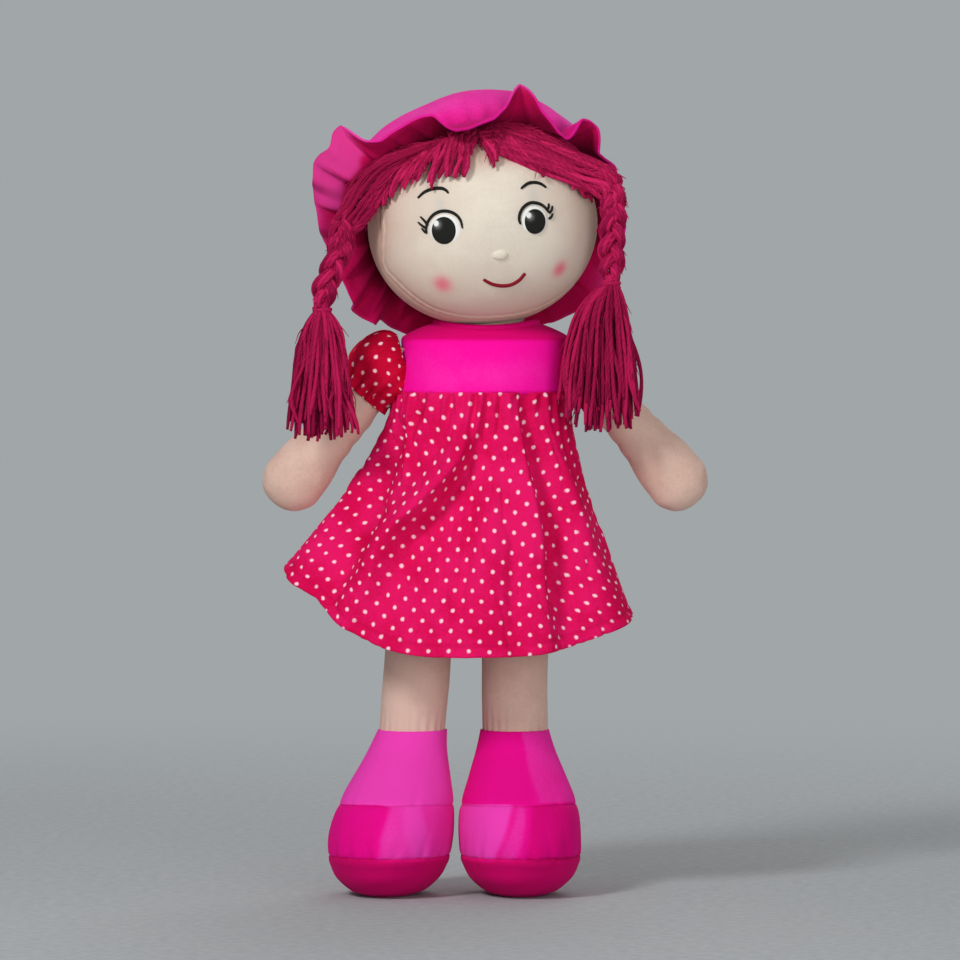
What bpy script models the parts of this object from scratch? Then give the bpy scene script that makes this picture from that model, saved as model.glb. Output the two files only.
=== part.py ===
"""A stuffed rag doll, 45 cm tall, standing on flat soles.

The doll is a set of sewn skins, each closed round its own filling: torso, head, two arms and two
legs with soft shoes. It wears a dress with puff sleeves and a gathered skirt, and a cap with a
ruffled brim. Its yarn hair ends in two three-strand braids with tassels.

X runs to the doll's own left, Y to its back and Z up. The origin is on the floor under the
middle of the doll. Lengths are in metres.
"""

import math

import bmesh
import bpy
import numpy as np
from mathutils import Matrix, Vector

MM = 0.001

# Place of the torso's middle, so that the doll's outline is centred on the origin
STANCE = Vector((0.6 * MM, 0.85 * MM, 0))

# Clearances, walls and facets
SEAM_GAP = 0.3 * MM
CUT_OVERRUN = 4.0 * MM
SKIN_WALL = 1.0 * MM
CLOTH_WALL = 1.0 * MM
VELOUR_WALL = 1.4 * MM
FILLING_GAP = 0.5 * MM
LIMB_SIDES = 14
BODY_SIDES = 20
FILLING_SIDES = 12

# Legs and shoes
SHOE_HEIGHT = 90 * MM
SHOE_HALF_WIDTH = 33.5 * MM
SHOE_HALF_LENGTH = 44 * MM
SHOE_FORWARD = 18 * MM
ANKLE_RADIUS = 19 * MM
SOLE_SEAM_SHARE = 0.25
BAND_SEAM_SHARE = 0.56
LEG_LENGTH = 94 * MM
LEG_RADIUS = 18.5 * MM
LEG_SEAM_HALF_WIDTH = 17 * MM
HIP_HALF_SPACING = 25 * MM
ANKLE_HALF_SPACING = 28.5 * MM
SHOE_HALF_SPACING = 35 * MM
HIP_LEAN = 9 * MM
ANKLE_LEAN = 12.5 * MM
SHOE_LEAN = 16.5 * MM
RIGHT_SHOE_TURN = math.radians(9)
LEFT_SHOE_TURN = math.radians(2)

# Hip strip, the unstuffed fold that carries both legs
STRIP_THICKNESS = 2.4 * MM
STRIP_HEIGHT = 6 * MM
STRIP_HALF_WIDTH = 42 * MM

# Torso
TORSO_HEIGHT = 118 * MM
TORSO_HALF_WIDTH = 47 * MM
TORSO_HALF_DEPTH = 33 * MM
NECK_RADIUS = 19 * MM
NECK_RISE = 3.5 * MM

# Dress
WAIST_SHARE = 0.72
BODICE_ROW_SHARES = (0, 0.35, 0.7, 1)
SHOULDER_EASE_SHARE = 0.75
BODICE_EASE = 1.2 * MM
NECKLINE_HALF_WIDTH = 28 * MM
NECKLINE_HALF_DEPTH = 23.5 * MM
BINDING_RADIUS = 1.6 * MM
ARMHOLE_RADIUS = 12.8 * MM
ARMHOLE_DROP = 10 * MM
SKIRT_LENGTH = 144 * MM
SKIRT_HEM_HALF_WIDTH = 97 * MM
SKIRT_HEM_HALF_DEPTH = 70 * MM
SKIRT_LEAN = 14 * MM
HEM_RISE_LEFT = 27 * MM
HEM_RISE_RIGHT = 46 * MM
HEM_RISE_BACK = 7 * MM
SKIRT_FOLDS = 9
SKIRT_FOLD_DEPTH = 5.5 * MM
SKIRT_STATIONS = 56
SKIRT_FLARE = 1.3
SLEEVE_CUT_ROWS = 3
SLEEVE_RADIUS = 22 * MM
SLEEVE_LENGTH = 38 * MM
SLEEVE_GATHERS = 8
SLEEVE_GATHER_DEPTH = 0.8 * MM

# Arms
ARM_LENGTH = 114 * MM
ARM_RADIUS = 12.5 * MM
HAND_RADIUS = 17 * MM
ARM_SEAM_HALF_DEPTH = 8 * MM
ARM_SPLAY = math.radians(40)
SHOULDER_SHARE = 0.935

# Head
HEAD_HALF_WIDTH = 64 * MM
HEAD_HALF_DEPTH = 52 * MM
HEAD_HALF_HEIGHT = 56 * MM
HEAD_SIDE_SHIFT = 2 * MM
HEAD_FORWARD = 7 * MM
HEAD_POLE_SHARE = 0.985
FACE_SEAM_FORWARD = 13 * MM
HEAD_WALL = 1.2 * MM
HEAD_YAW = math.radians(9)
HEAD_PITCH = math.radians(7)
HEAD_ROLL = math.radians(6)
EYE_RADIUS = 8.6 * MM
PATCH_THICKNESS = 0.8 * MM
THREAD_RADIUS = 0.8 * MM
NOSE_HALF_WIDTH = 4.6 * MM
NOSE_HALF_HEIGHT = 3 * MM
NOSE_STAND = 3 * MM

# Cap
CAP_TILT = math.radians(48)
CAP_SETBACK = 14.5 * MM
CAP_EASE = 1.5 * MM
CAP_PUFF = 9 * MM
CAP_CROWN_RISE = 52 * MM
BRIM_WIDTH = 27 * MM
BRIM_WAVES = 11
BRIM_WAVE_DEPTH = 8 * MM
BRIM_WAVE_START = math.radians(19.3)
BRIM_FLARE = math.radians(82)
BRIM_FLARE_SWING = math.radians(18)

# Hair
FRINGE_THICKNESS = 3.4 * MM
SIDE_HAIR_HALF_WIDTH = 11 * MM
SIDE_HAIR_HALF_THICKNESS = 4 * MM
SIDE_HAIR_LIFT = 1.6 * MM
STRAND_RADIUS = 2.6 * MM
BRAID_HALF_WIDTH = 6.8 * MM
BRAID_HALF_DEPTH = 5 * MM
BRAID_PITCH = 42 * MM
BRAID_STRAIGHT = 5.5 * MM
BRAID_SLACK = 0.6 * MM
BRAID_SWING = math.radians(32)
TIE_WALL = 1.8 * MM
TIE_HEIGHT = 6 * MM
TASSEL_RIDGES = 14

# Heights and middles that follow from the sizes above
LEG_TOP_Z = SHOE_HEIGHT + LEG_LENGTH
LEG_HINGE_Z = LEG_TOP_Z + SEAM_GAP + STRIP_THICKNESS / 2
SIT_HINGE_Z = LEG_HINGE_Z + STRIP_HEIGHT
TORSO_BOTTOM_Z = SIT_HINGE_Z + STRIP_THICKNESS / 2 + SEAM_GAP
TORSO_TOP_Z = TORSO_BOTTOM_Z + TORSO_HEIGHT
WAIST_Z = TORSO_BOTTOM_Z + TORSO_HEIGHT * WAIST_SHARE
SHOULDER_Z = TORSO_BOTTOM_Z + TORSO_HEIGHT * SHOULDER_SHARE
HEAD_Z = TORSO_TOP_Z + NECK_RISE + HEAD_HALF_HEIGHT
HEAD_PLACE = Vector((-HEAD_SIDE_SHIFT, -HEAD_FORWARD, HEAD_Z))

# Torso sections: share of the height, of the half width, of the half depth
TORSO_SHARES = (
    (0.00, 0.86, 0.036),
    (0.10, 0.93, 0.34),
    (0.22, 0.99, 0.66),
    (0.36, 1.02, 0.92),
    (0.52, 1.02, 1.02),
    (0.68, 1.00, 1.03),
    (0.82, 0.95, 0.94),
    (0.92, 0.93, 0.84),
    (0.965, 0.84, 0.73),
)

# Leg sections from the hip seam down: share of the length, half width and half depth of the radius
LEG_SHARES = (
    (0.00, None, 0.065),
    (0.12, 0.96, 0.46),
    (0.26, 1.00, 0.82),
    (0.42, 1.02, 1.00),
    (0.70, 1.00, 1.00),
    (1.00, 0.98, 0.98),
)

# Arm sections from the shoulder seam: share of the length, half width and half depth in radii
ARM_SHARES = (
    (0.013, 0.096, None),
    (0.08, 0.32, 0.74),
    (0.19, 0.64, 0.93),
    (0.34, 0.94, 1.00),
    (0.54, 1.03, 1.00),
    (0.67, 1.20, 1.02),
    (0.80, 1.36, 1.06),
    (0.90, 1.24, 0.98),
    (0.965, 0.80, 0.66),
)

ARM_SEAM_THICKNESS = ARM_SHARES[0][1] * 2 * ARM_RADIUS

# Shoe sections from the floor: share of the height, half width, half length and forward shift
SHOE_SHARES = (
    (0.00, 0.72, 0.76, 0.96),
    (0.035, 0.88, 0.90, 0.98),
    (0.13, 0.99, 0.99, 1.00),
    (0.25, 1.02, 1.01, 1.02),
    (0.40, 1.01, 0.97, 0.98),
    (0.56, 0.95, 0.84, 0.86),
    (0.72, 0.80, 0.65, 0.52),
    (0.87, 0.66, 0.50, 0.18),
    (1.00, 0.57, 0.43, 0.00),
)

# Sleeve sections along the arm: share of the length, share of the radius
SLEEVE_SHARES = (
    (-0.16, 0.72),
    (0.10, 0.93),
    (0.32, 1.02),
    (0.58, 0.98),
    (0.80, 0.80),
    (0.92, 0.68),
    (1.00, 0.70),
)

# Crown sections: share of the rise, share of the puffed half size; the first is the seam itself
CROWN_SHARES = (
    (0.00, None),
    (0.12, 0.985),
    (0.33, 1.00),
    (0.56, 0.93),
    (0.76, 0.77),
    (0.90, 0.53),
    (0.98, 0.22),
)

# Places on the head, in degrees round from the front and up from the middle
EYE_ANGLES = {"right": (-26, -6), "left": (19.5, -6)}
BROW_ANGLES = {"right": (-29.5, 16.5), "left": (20.5, 14)}
NOSE_ANGLES = (0, -24)
MOUTH_ANGLES = (1, -43)
EYE_WIDTH_SHARE = {"right": 1.0, "left": 0.92}
MOUTH_HALF_WIDTH = 12 * MM
MOUTH_SAG = 4.5 * MM
BROW_HALF_WIDTH = 9 * MM
BROW_ARCH = 4 * MM
# Fringe: degrees round from the front, and up at its top and at its ragged end
FRINGE_ANGLES = {
    "right": ((3, 55, 40), (14, 54, 32), (27, 52, 25), (39, 48, 24), (50, 43, 23)),
    "left": ((3, 55, 38), (13, 54, 26), (25, 52, 20), (36, 48, 17), (46, 44, 17)),
}
FRINGE_LOCKS = 4
FRINGE_LOCK_ANGLE = 5
SIDE_HAIR_ANGLES = {
    "right": ((59, 27), (65, 22), (71, 18), (77, 15)),
    "left": ((55, 24), (61, 22), (67, 20), (72, 19)),
}
SIDE_HAIR_SHARES = ((0.6, 0.8), (0.85, 1.0), (0.8, 1.0), (0.6, 1.15), (0.56, 1.4), (0.56, 1.5))

# Braids: root, tie and tassel end in their own sizes
BRAIDS = {
    "right": {
        "root_out": 77 * MM,
        "forward": 42 * MM,
        "root_rise": -2 * MM,
        "tie_out": 92 * MM,
        "length": 46 * MM,
        "tassel_length": 66 * MM,
        "tassel_half_width": 20 * MM,
        "tassel_out": 2 * MM,
    },
    "left": {
        "root_out": 76 * MM,
        "forward": 38 * MM,
        "root_rise": 17 * MM,
        "tie_out": 73 * MM,
        "length": 53 * MM,
        "tassel_length": 72 * MM,
        "tassel_half_width": 25 * MM,
        "tassel_out": -9 * MM,
    },
}
TASSEL_HALF_DEPTH = 10 * MM

COLOURS = {
    "skin": (0.62, 0.42, 0.34),
    "face": (0.72, 0.64, 0.54),
    "velour": (0.80, 0.02, 0.24),
    "velour_dark": (0.62, 0.01, 0.13),
    "dots": (0.72, 0.01, 0.09),
    "yarn": (0.26, 0.008, 0.045),
    "filling": (0.86, 0.86, 0.84),
    "eye": (0.02, 0.02, 0.02),
    "thread": (0.03, 0.02, 0.02),
    "mouth": (0.30, 0.01, 0.02),
}


def clear_scene():
    """Remove every object, so the model starts from nothing."""
    for old in list(bpy.data.objects):
        bpy.data.objects.remove(old, do_unlink=True)


def new_collection(name):
    """Make a collection in the scene."""
    made = bpy.data.collections.new(name)
    bpy.context.scene.collection.children.link(made)
    return made


def new_material(name, colour, roughness=0.85):
    """Make a matt cloth or yarn material."""
    made = bpy.data.materials.new(name)
    made.use_nodes = True
    shader = made.node_tree.nodes["Principled BSDF"]
    shader.inputs["Base Color"].default_value = (*colour, 1.0)
    shader.inputs["Roughness"].default_value = roughness
    shader.inputs["Metallic"].default_value = 0.0
    return made


def new_object(name, mesh, collection, material=None):
    """Put a mesh into a collection as a smooth-shaded object."""
    made = bpy.data.objects.new(name, mesh)
    collection.objects.link(made)
    if material is not None:
        mesh.materials.append(material)
        mesh.shade_smooth()
    return made


def new_empty(name, place, collection, rotation=None):
    """Make an empty that stands on a joint."""
    made = bpy.data.objects.new(name, None)
    made.location = place
    if rotation is not None:
        made.rotation_euler = rotation.to_euler()
    collection.objects.link(made)
    return made


def smooth_rows(table, rows):
    """Read a table of sections at evenly spaced rows on a Catmull-Rom curve through it."""
    table = np.array(table, dtype=float)
    padded = np.vstack((2 * table[0] - table[1], table, 2 * table[-1] - table[-2]))
    places = np.linspace(0, len(table) - 1, rows)
    made = []
    for place in places:
        start = min(int(place), len(table) - 2)
        t = place - start
        a, b, c, d = padded[start:start + 4]
        made.append(0.5 * (2 * b + (c - a) * t + (2 * a - 5 * b + 4 * c - d) * t**2
                           + (3 * b - a - 3 * c + d) * t**3))
    return np.array(made)


def oval(middle, half_x, half_y, sides, start=0.0):
    """Points round a level oval."""
    turn = start + np.arange(sides) * 2 * math.pi / sides
    return np.stack((middle[0] + half_x * np.cos(turn),
                     middle[1] + half_y * np.sin(turn),
                     np.full(sides, middle[2])), axis=1)


def mesh_from_rings(name, rings, close_start=False, close_end=False):
    """Join rings of points into a tube, each end open or closed by a fan."""
    rings = np.asarray(rings, dtype=float)
    rows, sides = rings.shape[:2]
    shape = bmesh.new()
    grid = [[shape.verts.new(point) for point in ring] for ring in rings]
    for row in range(rows - 1):
        for side in range(sides):
            after = (side + 1) % sides
            shape.faces.new((grid[row][side], grid[row][after],
                             grid[row + 1][after], grid[row + 1][side]))
    for closed, ring in ((close_start, 0), (close_end, rows - 1)):
        if closed:
            tip = shape.verts.new(rings[ring].mean(axis=0))
            for side in range(sides):
                shape.faces.new((grid[ring][side], grid[ring][(side + 1) % sides], tip))
    if close_start and close_end:
        bmesh.ops.recalc_face_normals(shape, faces=shape.faces)
    else:
        turn_outward(shape)
    mesh = bpy.data.meshes.new(name)
    shape.to_mesh(mesh)
    shape.free()
    return mesh


def turn_outward(shape):
    """Face an open tube away from its own middle line."""
    bmesh.ops.recalc_face_normals(shape, faces=shape.faces)
    middle = sum((vertex.co for vertex in shape.verts), Vector()) / len(shape.verts)
    facing = sum(face.normal.dot(face.calc_center_median() - middle) * face.calc_area()
                 for face in shape.faces)
    if facing < 0:
        bmesh.ops.reverse_faces(shape, faces=shape.faces)


def skin_mesh(name, outer, inner, close_start=False, close_end=False):
    """Make a thin skin from its outer rings and its inner rings, joined where an end is open."""
    outer, inner = np.asarray(outer, dtype=float), np.asarray(inner, dtype=float)
    sides = outer.shape[1]
    shape = bmesh.new()
    layers = []
    for rings in (outer, inner):
        grid = [[shape.verts.new(point) for point in ring] for ring in rings]
        for row in range(len(grid) - 1):
            for side in range(sides):
                after = (side + 1) % sides
                shape.faces.new((grid[row][side], grid[row][after],
                                 grid[row + 1][after], grid[row + 1][side]))
        layers.append(grid)
    for closed, end in ((close_start, 0), (close_end, -1)):
        if closed:
            for grid, rings in zip(layers, (outer, inner)):
                tip = shape.verts.new(rings[end].mean(axis=0))
                for side in range(sides):
                    shape.faces.new((grid[end][side], grid[end][(side + 1) % sides], tip))
        else:
            for side in range(sides):
                after = (side + 1) % sides
                shape.faces.new((layers[0][end][side], layers[0][end][after],
                                 layers[1][end][after], layers[1][end][side]))
    bmesh.ops.recalc_face_normals(shape, faces=shape.faces)
    mesh = bpy.data.meshes.new(name)
    shape.to_mesh(mesh)
    shape.free()
    return mesh


def sheet_mesh(name, grid):
    """Make an open sheet from rows of points."""
    grid = np.asarray(grid, dtype=float)
    rows, columns = grid.shape[:2]
    corners = np.arange(rows * columns).reshape(rows, columns)
    faces = np.stack((corners[:-1, :-1], corners[:-1, 1:], corners[1:, 1:], corners[1:, :-1]),
                     axis=-1).reshape(-1, 4)
    mesh = bpy.data.meshes.new(name)
    mesh.from_pydata(grid.reshape(-1, 3).tolist(), [], faces.tolist())
    mesh.update()
    return mesh


def add_wall(item, thickness, offset):
    """Give an open surface its thickness."""
    wall = item.modifiers.new("wall", "SOLIDIFY")
    wall.thickness = thickness
    wall.offset = offset
    wall.use_even_offset = False
    return wall


def add_cut(item, cutter):
    """Cut one object by another."""
    cut = item.modifiers.new("cut", "BOOLEAN")
    cut.operation = "DIFFERENCE"
    cut.solver = "EXACT"
    cut.object = cutter
    return cut


def hide_cutter(item):
    """Show a cutter as a wire only."""
    item.hide_render = True
    item.display_type = "WIRE"
    return item


def tube_object(name, points, radius, collection, material, cyclic=False, sides_setting=0):
    """Make a tube along points as a curve with filled caps."""
    curve = bpy.data.curves.new(name, "CURVE")
    curve.dimensions = "3D"
    curve.bevel_depth = radius
    curve.bevel_resolution = sides_setting
    curve.use_fill_caps = not cyclic
    line = curve.splines.new("POLY")
    line.points.add(len(points) - 1)
    for target, point in zip(line.points, points):
        target.co = (*point, 1.0)
    line.use_cyclic_u = cyclic
    line.use_smooth = True
    curve.materials.append(material)
    made = bpy.data.objects.new(name, curve)
    collection.objects.link(made)
    return made


def torso_lean(z):
    """Sideways place of the torso's middle at a height: the hips lean to the doll's right."""
    return -HIP_LEAN * (TORSO_TOP_Z - z) / TORSO_HEIGHT


def torso_rows(ease=0.0, rows=10):
    """Torso sections as height, half width and half depth, grown by an ease."""
    table = [(share, wide * TORSO_HALF_WIDTH, deep * TORSO_HALF_DEPTH)
             for share, wide, deep in TORSO_SHARES]
    made = smooth_rows(table, rows)
    made[:, 0] = TORSO_BOTTOM_Z + made[:, 0] * TORSO_HEIGHT
    made[:, 1:] += ease
    return made


def torso_size_at(z, ease=0.0):
    """Half width and half depth of the torso at a height."""
    rows = torso_rows(ease, 40)
    return (float(np.interp(z, rows[:, 0], rows[:, 1])),
            float(np.interp(z, rows[:, 0], rows[:, 2])))


def torso_rings(ease, sides, rows=10, first=0, last=None):
    """Rings of the torso's form, grown or shrunk by an ease."""
    sections = torso_rows(0.0, rows)[first:last]
    return [oval((torso_lean(z), 0, z), wide + ease, max(deep + ease, deep * 0.3), sides)
            for z, wide, deep in sections]


def neck_ring(ease, sides, z):
    """The round neck opening at the top of the torso."""
    return oval((torso_lean(z), 0, z), NECK_RADIUS + ease, NECK_RADIUS * 0.9 + ease, sides)


def build_torso(parts, materials):
    """Torso skin, open at the neck and pinched at its lower seam, and its filling."""
    top = TORSO_TOP_Z
    outer = torso_rings(0.0, BODY_SIDES) + [neck_ring(0.0, BODY_SIDES, top)]
    inner = torso_rings(-SKIN_WALL, BODY_SIDES) + [neck_ring(-SKIN_WALL, BODY_SIDES, top - SKIN_WALL)]
    inner[-2][:, 2] -= SKIN_WALL
    skin = new_object("torso_skin", skin_mesh("torso_skin", outer, inner), parts, materials["skin"])
    inset = -(SKIN_WALL + FILLING_GAP + TORSO_HALF_WIDTH * (1 - math.cos(math.pi / BODY_SIDES)))
    rings = torso_rings(inset, FILLING_SIDES, 7, 1)
    rings[-1][:, 2] -= SKIN_WALL + FILLING_GAP
    filling = new_object("torso_filling",
                         mesh_from_rings("torso_filling", rings, True, True),
                         parts, materials["filling"])
    return [skin, filling]


def bodice_rings(ease, sides, start=0.0):
    """Rings of the bodice from the waist seam up over the shoulders to the neckline."""
    low = WAIST_Z + SEAM_GAP
    high = TORSO_BOTTOM_Z + TORSO_HEIGHT * TORSO_SHARES[-2][0]
    rings = []
    for share in BODICE_ROW_SHARES:
        z = low + (high - low) * share
        wide, deep = torso_size_at(z)
        rings.append(oval((torso_lean(z), 0, z), wide + ease, deep + ease, sides, start))
    turn_z = TORSO_BOTTOM_Z + TORSO_HEIGHT * TORSO_SHARES[-1][0]
    wide, deep = torso_size_at(turn_z, ease * SHOULDER_EASE_SHARE)
    lift = ease * SHOULDER_EASE_SHARE
    rings.append(oval((torso_lean(turn_z), 0, turn_z + lift), wide, deep, sides, start))
    slope = (NECKLINE_HALF_WIDTH - NECK_RADIUS) / (torso_size_at(turn_z)[0] - NECK_RADIUS)
    neck_z = TORSO_TOP_Z - (TORSO_TOP_Z - turn_z) * slope + ease
    rings.append(oval((0, 0, neck_z), NECKLINE_HALF_WIDTH, NECKLINE_HALF_DEPTH, sides, start))
    return rings


def shoulder_place(side):
    """The shoulder seam: beside the torso at shoulder height."""
    wide = torso_size_at(SHOULDER_Z)[0]
    out = wide + SEAM_GAP + ARM_SEAM_THICKNESS / 2
    return Vector((torso_lean(SHOULDER_Z) + side * out, 0, SHOULDER_Z))



def build_dress(parts, cutters, materials):
    """Bodice with armholes, neckline binding, gathered skirt and puff sleeves."""
    ease = BODICE_EASE + VELOUR_WALL
    bodice = new_object("bodice", mesh_from_rings("bodice", bodice_rings(ease, BODY_SIDES)),
                        parts, materials["velour"])
    add_wall(bodice, VELOUR_WALL, -1)
    for side in (-1, 1):
        drill = bmesh.new()
        bmesh.ops.create_cone(drill, cap_ends=True, segments=16, radius1=ARMHOLE_RADIUS,
                              radius2=ARMHOLE_RADIUS, depth=TORSO_HALF_WIDTH,
                              matrix=Matrix.Rotation(math.pi / 2, 4, "Y"))
        mesh = bpy.data.meshes.new("armhole_cutter")
        drill.to_mesh(mesh)
        drill.free()
        cutter = hide_cutter(new_object("armhole_cutter", mesh, cutters))
        cutter.location = shoulder_place(side) - Vector((0, 0, ARMHOLE_DROP))
        add_cut(bodice, cutter)
    edge = bodice_rings(ease, BODY_SIDES)[-1]
    inward = 1 - (2 * SEAM_GAP + BINDING_RADIUS + VELOUR_WALL / 2) / NECKLINE_HALF_DEPTH
    edge[:, :2] *= inward
    binding = tube_object("neckline_binding", edge, BINDING_RADIUS, parts,
                          materials["velour_dark"], True, 1)
    skirt = build_skirt(parts, materials, ease)
    body = mesh_from_rings("sleeve_cutter", sleeve_cutter_rings(ease + SEAM_GAP), True, True)
    body_cutter = hide_cutter(new_object("sleeve_cutter", body, cutters))
    sleeves = [build_sleeve(side, body_cutter, parts, materials) for side in (-1, 1)]
    return [bodice, binding, skirt] + sleeves


def sleeve_cutter_rings(ease):
    """Rings of the dressed torso, a gap bigger: the skirt's top, the bodice and its shoulders."""
    rings = skirt_point_rows(ease, 2 * SEAM_GAP)[SLEEVE_CUT_ROWS::-1]
    bodice = bodice_rings(ease, SKIRT_STATIONS, -math.pi / 2)
    top = bodice[-1].copy()
    top[:, 2] += SLEEVE_RADIUS
    return rings + bodice[1:] + [top]


def skirt_point_rows(ease, grow=0.0):
    """Rows of points of the skirt's outer face, from the waist seam to the hem.

    Round angle 0 is the front. The radius grows from the waist to the hem, with folds whose depth
    grows with it. The hem lies lowest in front and rises at the sides.
    """
    turn = np.arange(SKIRT_STATIONS) * 2 * math.pi / SKIRT_STATIONS
    waist_wide, waist_deep = torso_size_at(WAIST_Z)
    waist_wide, waist_deep = waist_wide + ease, waist_deep + ease
    side = np.sin(turn)
    rise = np.where(side > 0, HEM_RISE_LEFT, HEM_RISE_RIGHT) * np.abs(side) ** 2.5
    rise = rise + HEM_RISE_BACK * np.clip(-np.cos(turn), 0, 1)
    rows = []
    for share in (0, 0.08, 0.2, 0.36, 0.54, 0.72, 0.88, 1):
        flare = share**SKIRT_FLARE
        fold = SKIRT_FOLD_DEPTH * min(share * 2.2, 1) * np.cos(SKIRT_FOLDS * turn + 0.6)
        wide = waist_wide + (SKIRT_HEM_HALF_WIDTH - waist_wide) * flare + fold + grow
        deep = waist_deep + (SKIRT_HEM_HALF_DEPTH - waist_deep) * flare + fold + grow
        x = torso_lean(WAIST_Z) * (1 - share) - SKIRT_LEAN * share + wide * side
        z = WAIST_Z - (SKIRT_LENGTH - rise) * share
        rows.append(np.stack((x, -deep * np.cos(turn), z), axis=1))
    return rows


def build_skirt(parts, materials, ease):
    """Gathered skirt, an open bell of cloth."""
    mesh = mesh_from_rings("skirt", skirt_point_rows(ease))
    skirt = new_object("skirt", mesh, parts, materials["dots"])
    add_wall(skirt, CLOTH_WALL, -1)
    return skirt


def build_sleeve(side, body_cutter, parts, materials):
    """Puff sleeve round the arm's root, gathered, and cut to the bodice."""
    name = "left_sleeve" if side > 0 else "right_sleeve"
    sections = smooth_rows([(along * SLEEVE_LENGTH, wide * SLEEVE_RADIUS)
                            for along, wide in SLEEVE_SHARES], 8)
    sides = 3 * SLEEVE_GATHERS
    turn = np.arange(sides) * 2 * math.pi / sides
    rings = []
    for along, radius in sections:
        wave = radius + SLEEVE_GATHER_DEPTH * np.cos(SLEEVE_GATHERS * turn)
        rings.append(np.stack((wave * np.cos(turn), wave * 0.92 * np.sin(turn),
                               np.full(sides, -along)), axis=1))
    sleeve = new_object(name, mesh_from_rings(name, rings), parts, materials["dots"])
    sleeve.location = shoulder_place(side)
    sleeve.rotation_euler = (0, -side * ARM_SPLAY, 0)
    add_wall(sleeve, CLOTH_WALL, -1)
    add_cut(sleeve, body_cutter)
    return sleeve


def arm_sections(rows):
    """Arm sections as distance from the shoulder, half width and half depth."""
    table = []
    for along, wide, deep in ARM_SHARES:
        depth = ARM_SEAM_HALF_DEPTH if deep is None else deep * ARM_RADIUS
        swell = HAND_RADIUS / (ARM_SHARES[6][1] * ARM_RADIUS)
        width = wide * ARM_RADIUS * (1 + (swell - 1) * max(0.0, (along - 0.5) / 0.3))
        table.append((along * ARM_LENGTH, width, depth))
    return smooth_rows(table, rows)


def build_arm(side, parts, materials):
    """Arm skin with a mitt hand, pinched at the shoulder seam, and its filling."""
    name = "left_arm" if side > 0 else "right_arm"
    place = shoulder_place(side)
    sections = arm_sections(10)
    outer = [oval((0, 0, -along), wide, deep, LIMB_SIDES) for along, wide, deep in sections]
    inner = [oval((0, 0, -along), max(wide - SKIN_WALL, wide * 0.3), deep - SKIN_WALL, LIMB_SIDES)
             for along, wide, deep in sections]
    inner[-1][:, 2] += SKIN_WALL
    mesh = skin_mesh(name + "_skin", outer, inner, False, True)
    skin = new_object(name + "_skin", mesh, parts, materials["skin"])
    inset = SKIN_WALL + FILLING_GAP + HAND_RADIUS * (1 - math.cos(math.pi / LIMB_SIDES))
    inside = arm_sections(8)[1:]
    inside[-1, 0] -= SKIN_WALL + FILLING_GAP
    rings = [oval((0, 0, -along), wide - inset, deep - inset, FILLING_SIDES)
             for along, wide, deep in inside]
    filling = new_object(name + "_filling", mesh_from_rings(name + "_filling", rings, True, True),
                         parts, materials["filling"])
    for item in (skin, filling):
        item.location = place
        item.rotation_euler = (0, -side * ARM_SPLAY, 0)
    return [skin, filling]


def leg_rows(rows):
    """Leg sections as distance below the hip seam, half width and half depth."""
    table = [(share * LEG_LENGTH, LEG_SEAM_HALF_WIDTH if wide is None else wide * LEG_RADIUS,
              deep * LEG_RADIUS) for share, wide, deep in LEG_SHARES]
    return smooth_rows(table, rows)


def build_leg(side, parts, materials):
    """Leg skin, pinched at the hip seam and open at the ankle, and its filling."""
    name = "left_leg" if side > 0 else "right_leg"
    hip_x = -HIP_LEAN + side * HIP_HALF_SPACING
    ankle_x = -ANKLE_LEAN + side * ANKLE_HALF_SPACING
    hinge = new_empty(name + "_hinge", (hip_x, 0, LEG_HINGE_Z), parts)

    def rings(sections, inset, sides):
        made = []
        for down, wide, deep in sections:
            share = down / LEG_LENGTH
            middle = ((ankle_x - hip_x) * share, 0, LEG_TOP_Z - down - LEG_HINGE_Z)
            made.append(oval(middle, wide - inset, max(deep - inset, deep * 0.3), sides))
        return made

    sections = leg_rows(8)
    mesh = skin_mesh(name + "_skin", rings(sections, 0, LIMB_SIDES),
                     rings(sections, SKIN_WALL, LIMB_SIDES))
    skin = new_object(name + "_skin", mesh, parts, materials["skin"])
    inset = SKIN_WALL + FILLING_GAP + LEG_RADIUS * (1 - math.cos(math.pi / LIMB_SIDES))
    mesh = mesh_from_rings(name + "_filling", rings(leg_rows(7)[1:], inset, FILLING_SIDES),
                           True, True)
    filling = new_object(name + "_filling", mesh, parts, materials["filling"])
    shoe = build_shoe(side, (ankle_x - hip_x, hinge.location), parts, materials)
    for item in [skin, filling] + shoe:
        item.parent = hinge
    return [skin, filling] + shoe


def shoe_sections(low, high, rows, crowd=False):
    """Shoe sections between two shares of its height: height, half width, half length, forward.

    Crowded rows lie closer together near the low end, where the sole turns under.
    """
    fine = smooth_rows(SHOE_SHARES, 60)
    steps = np.linspace(0, 1, rows) ** (1.8 if crowd else 1)
    shares = low + (high - low) * steps
    columns = [np.interp(shares, fine[:, 0], fine[:, column]) for column in (1, 2, 3)]
    return np.stack((shares * SHOE_HEIGHT, columns[0] * SHOE_HALF_WIDTH,
                     columns[1] * SHOE_HALF_LENGTH, columns[2] * SHOE_FORWARD), axis=1)


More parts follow.
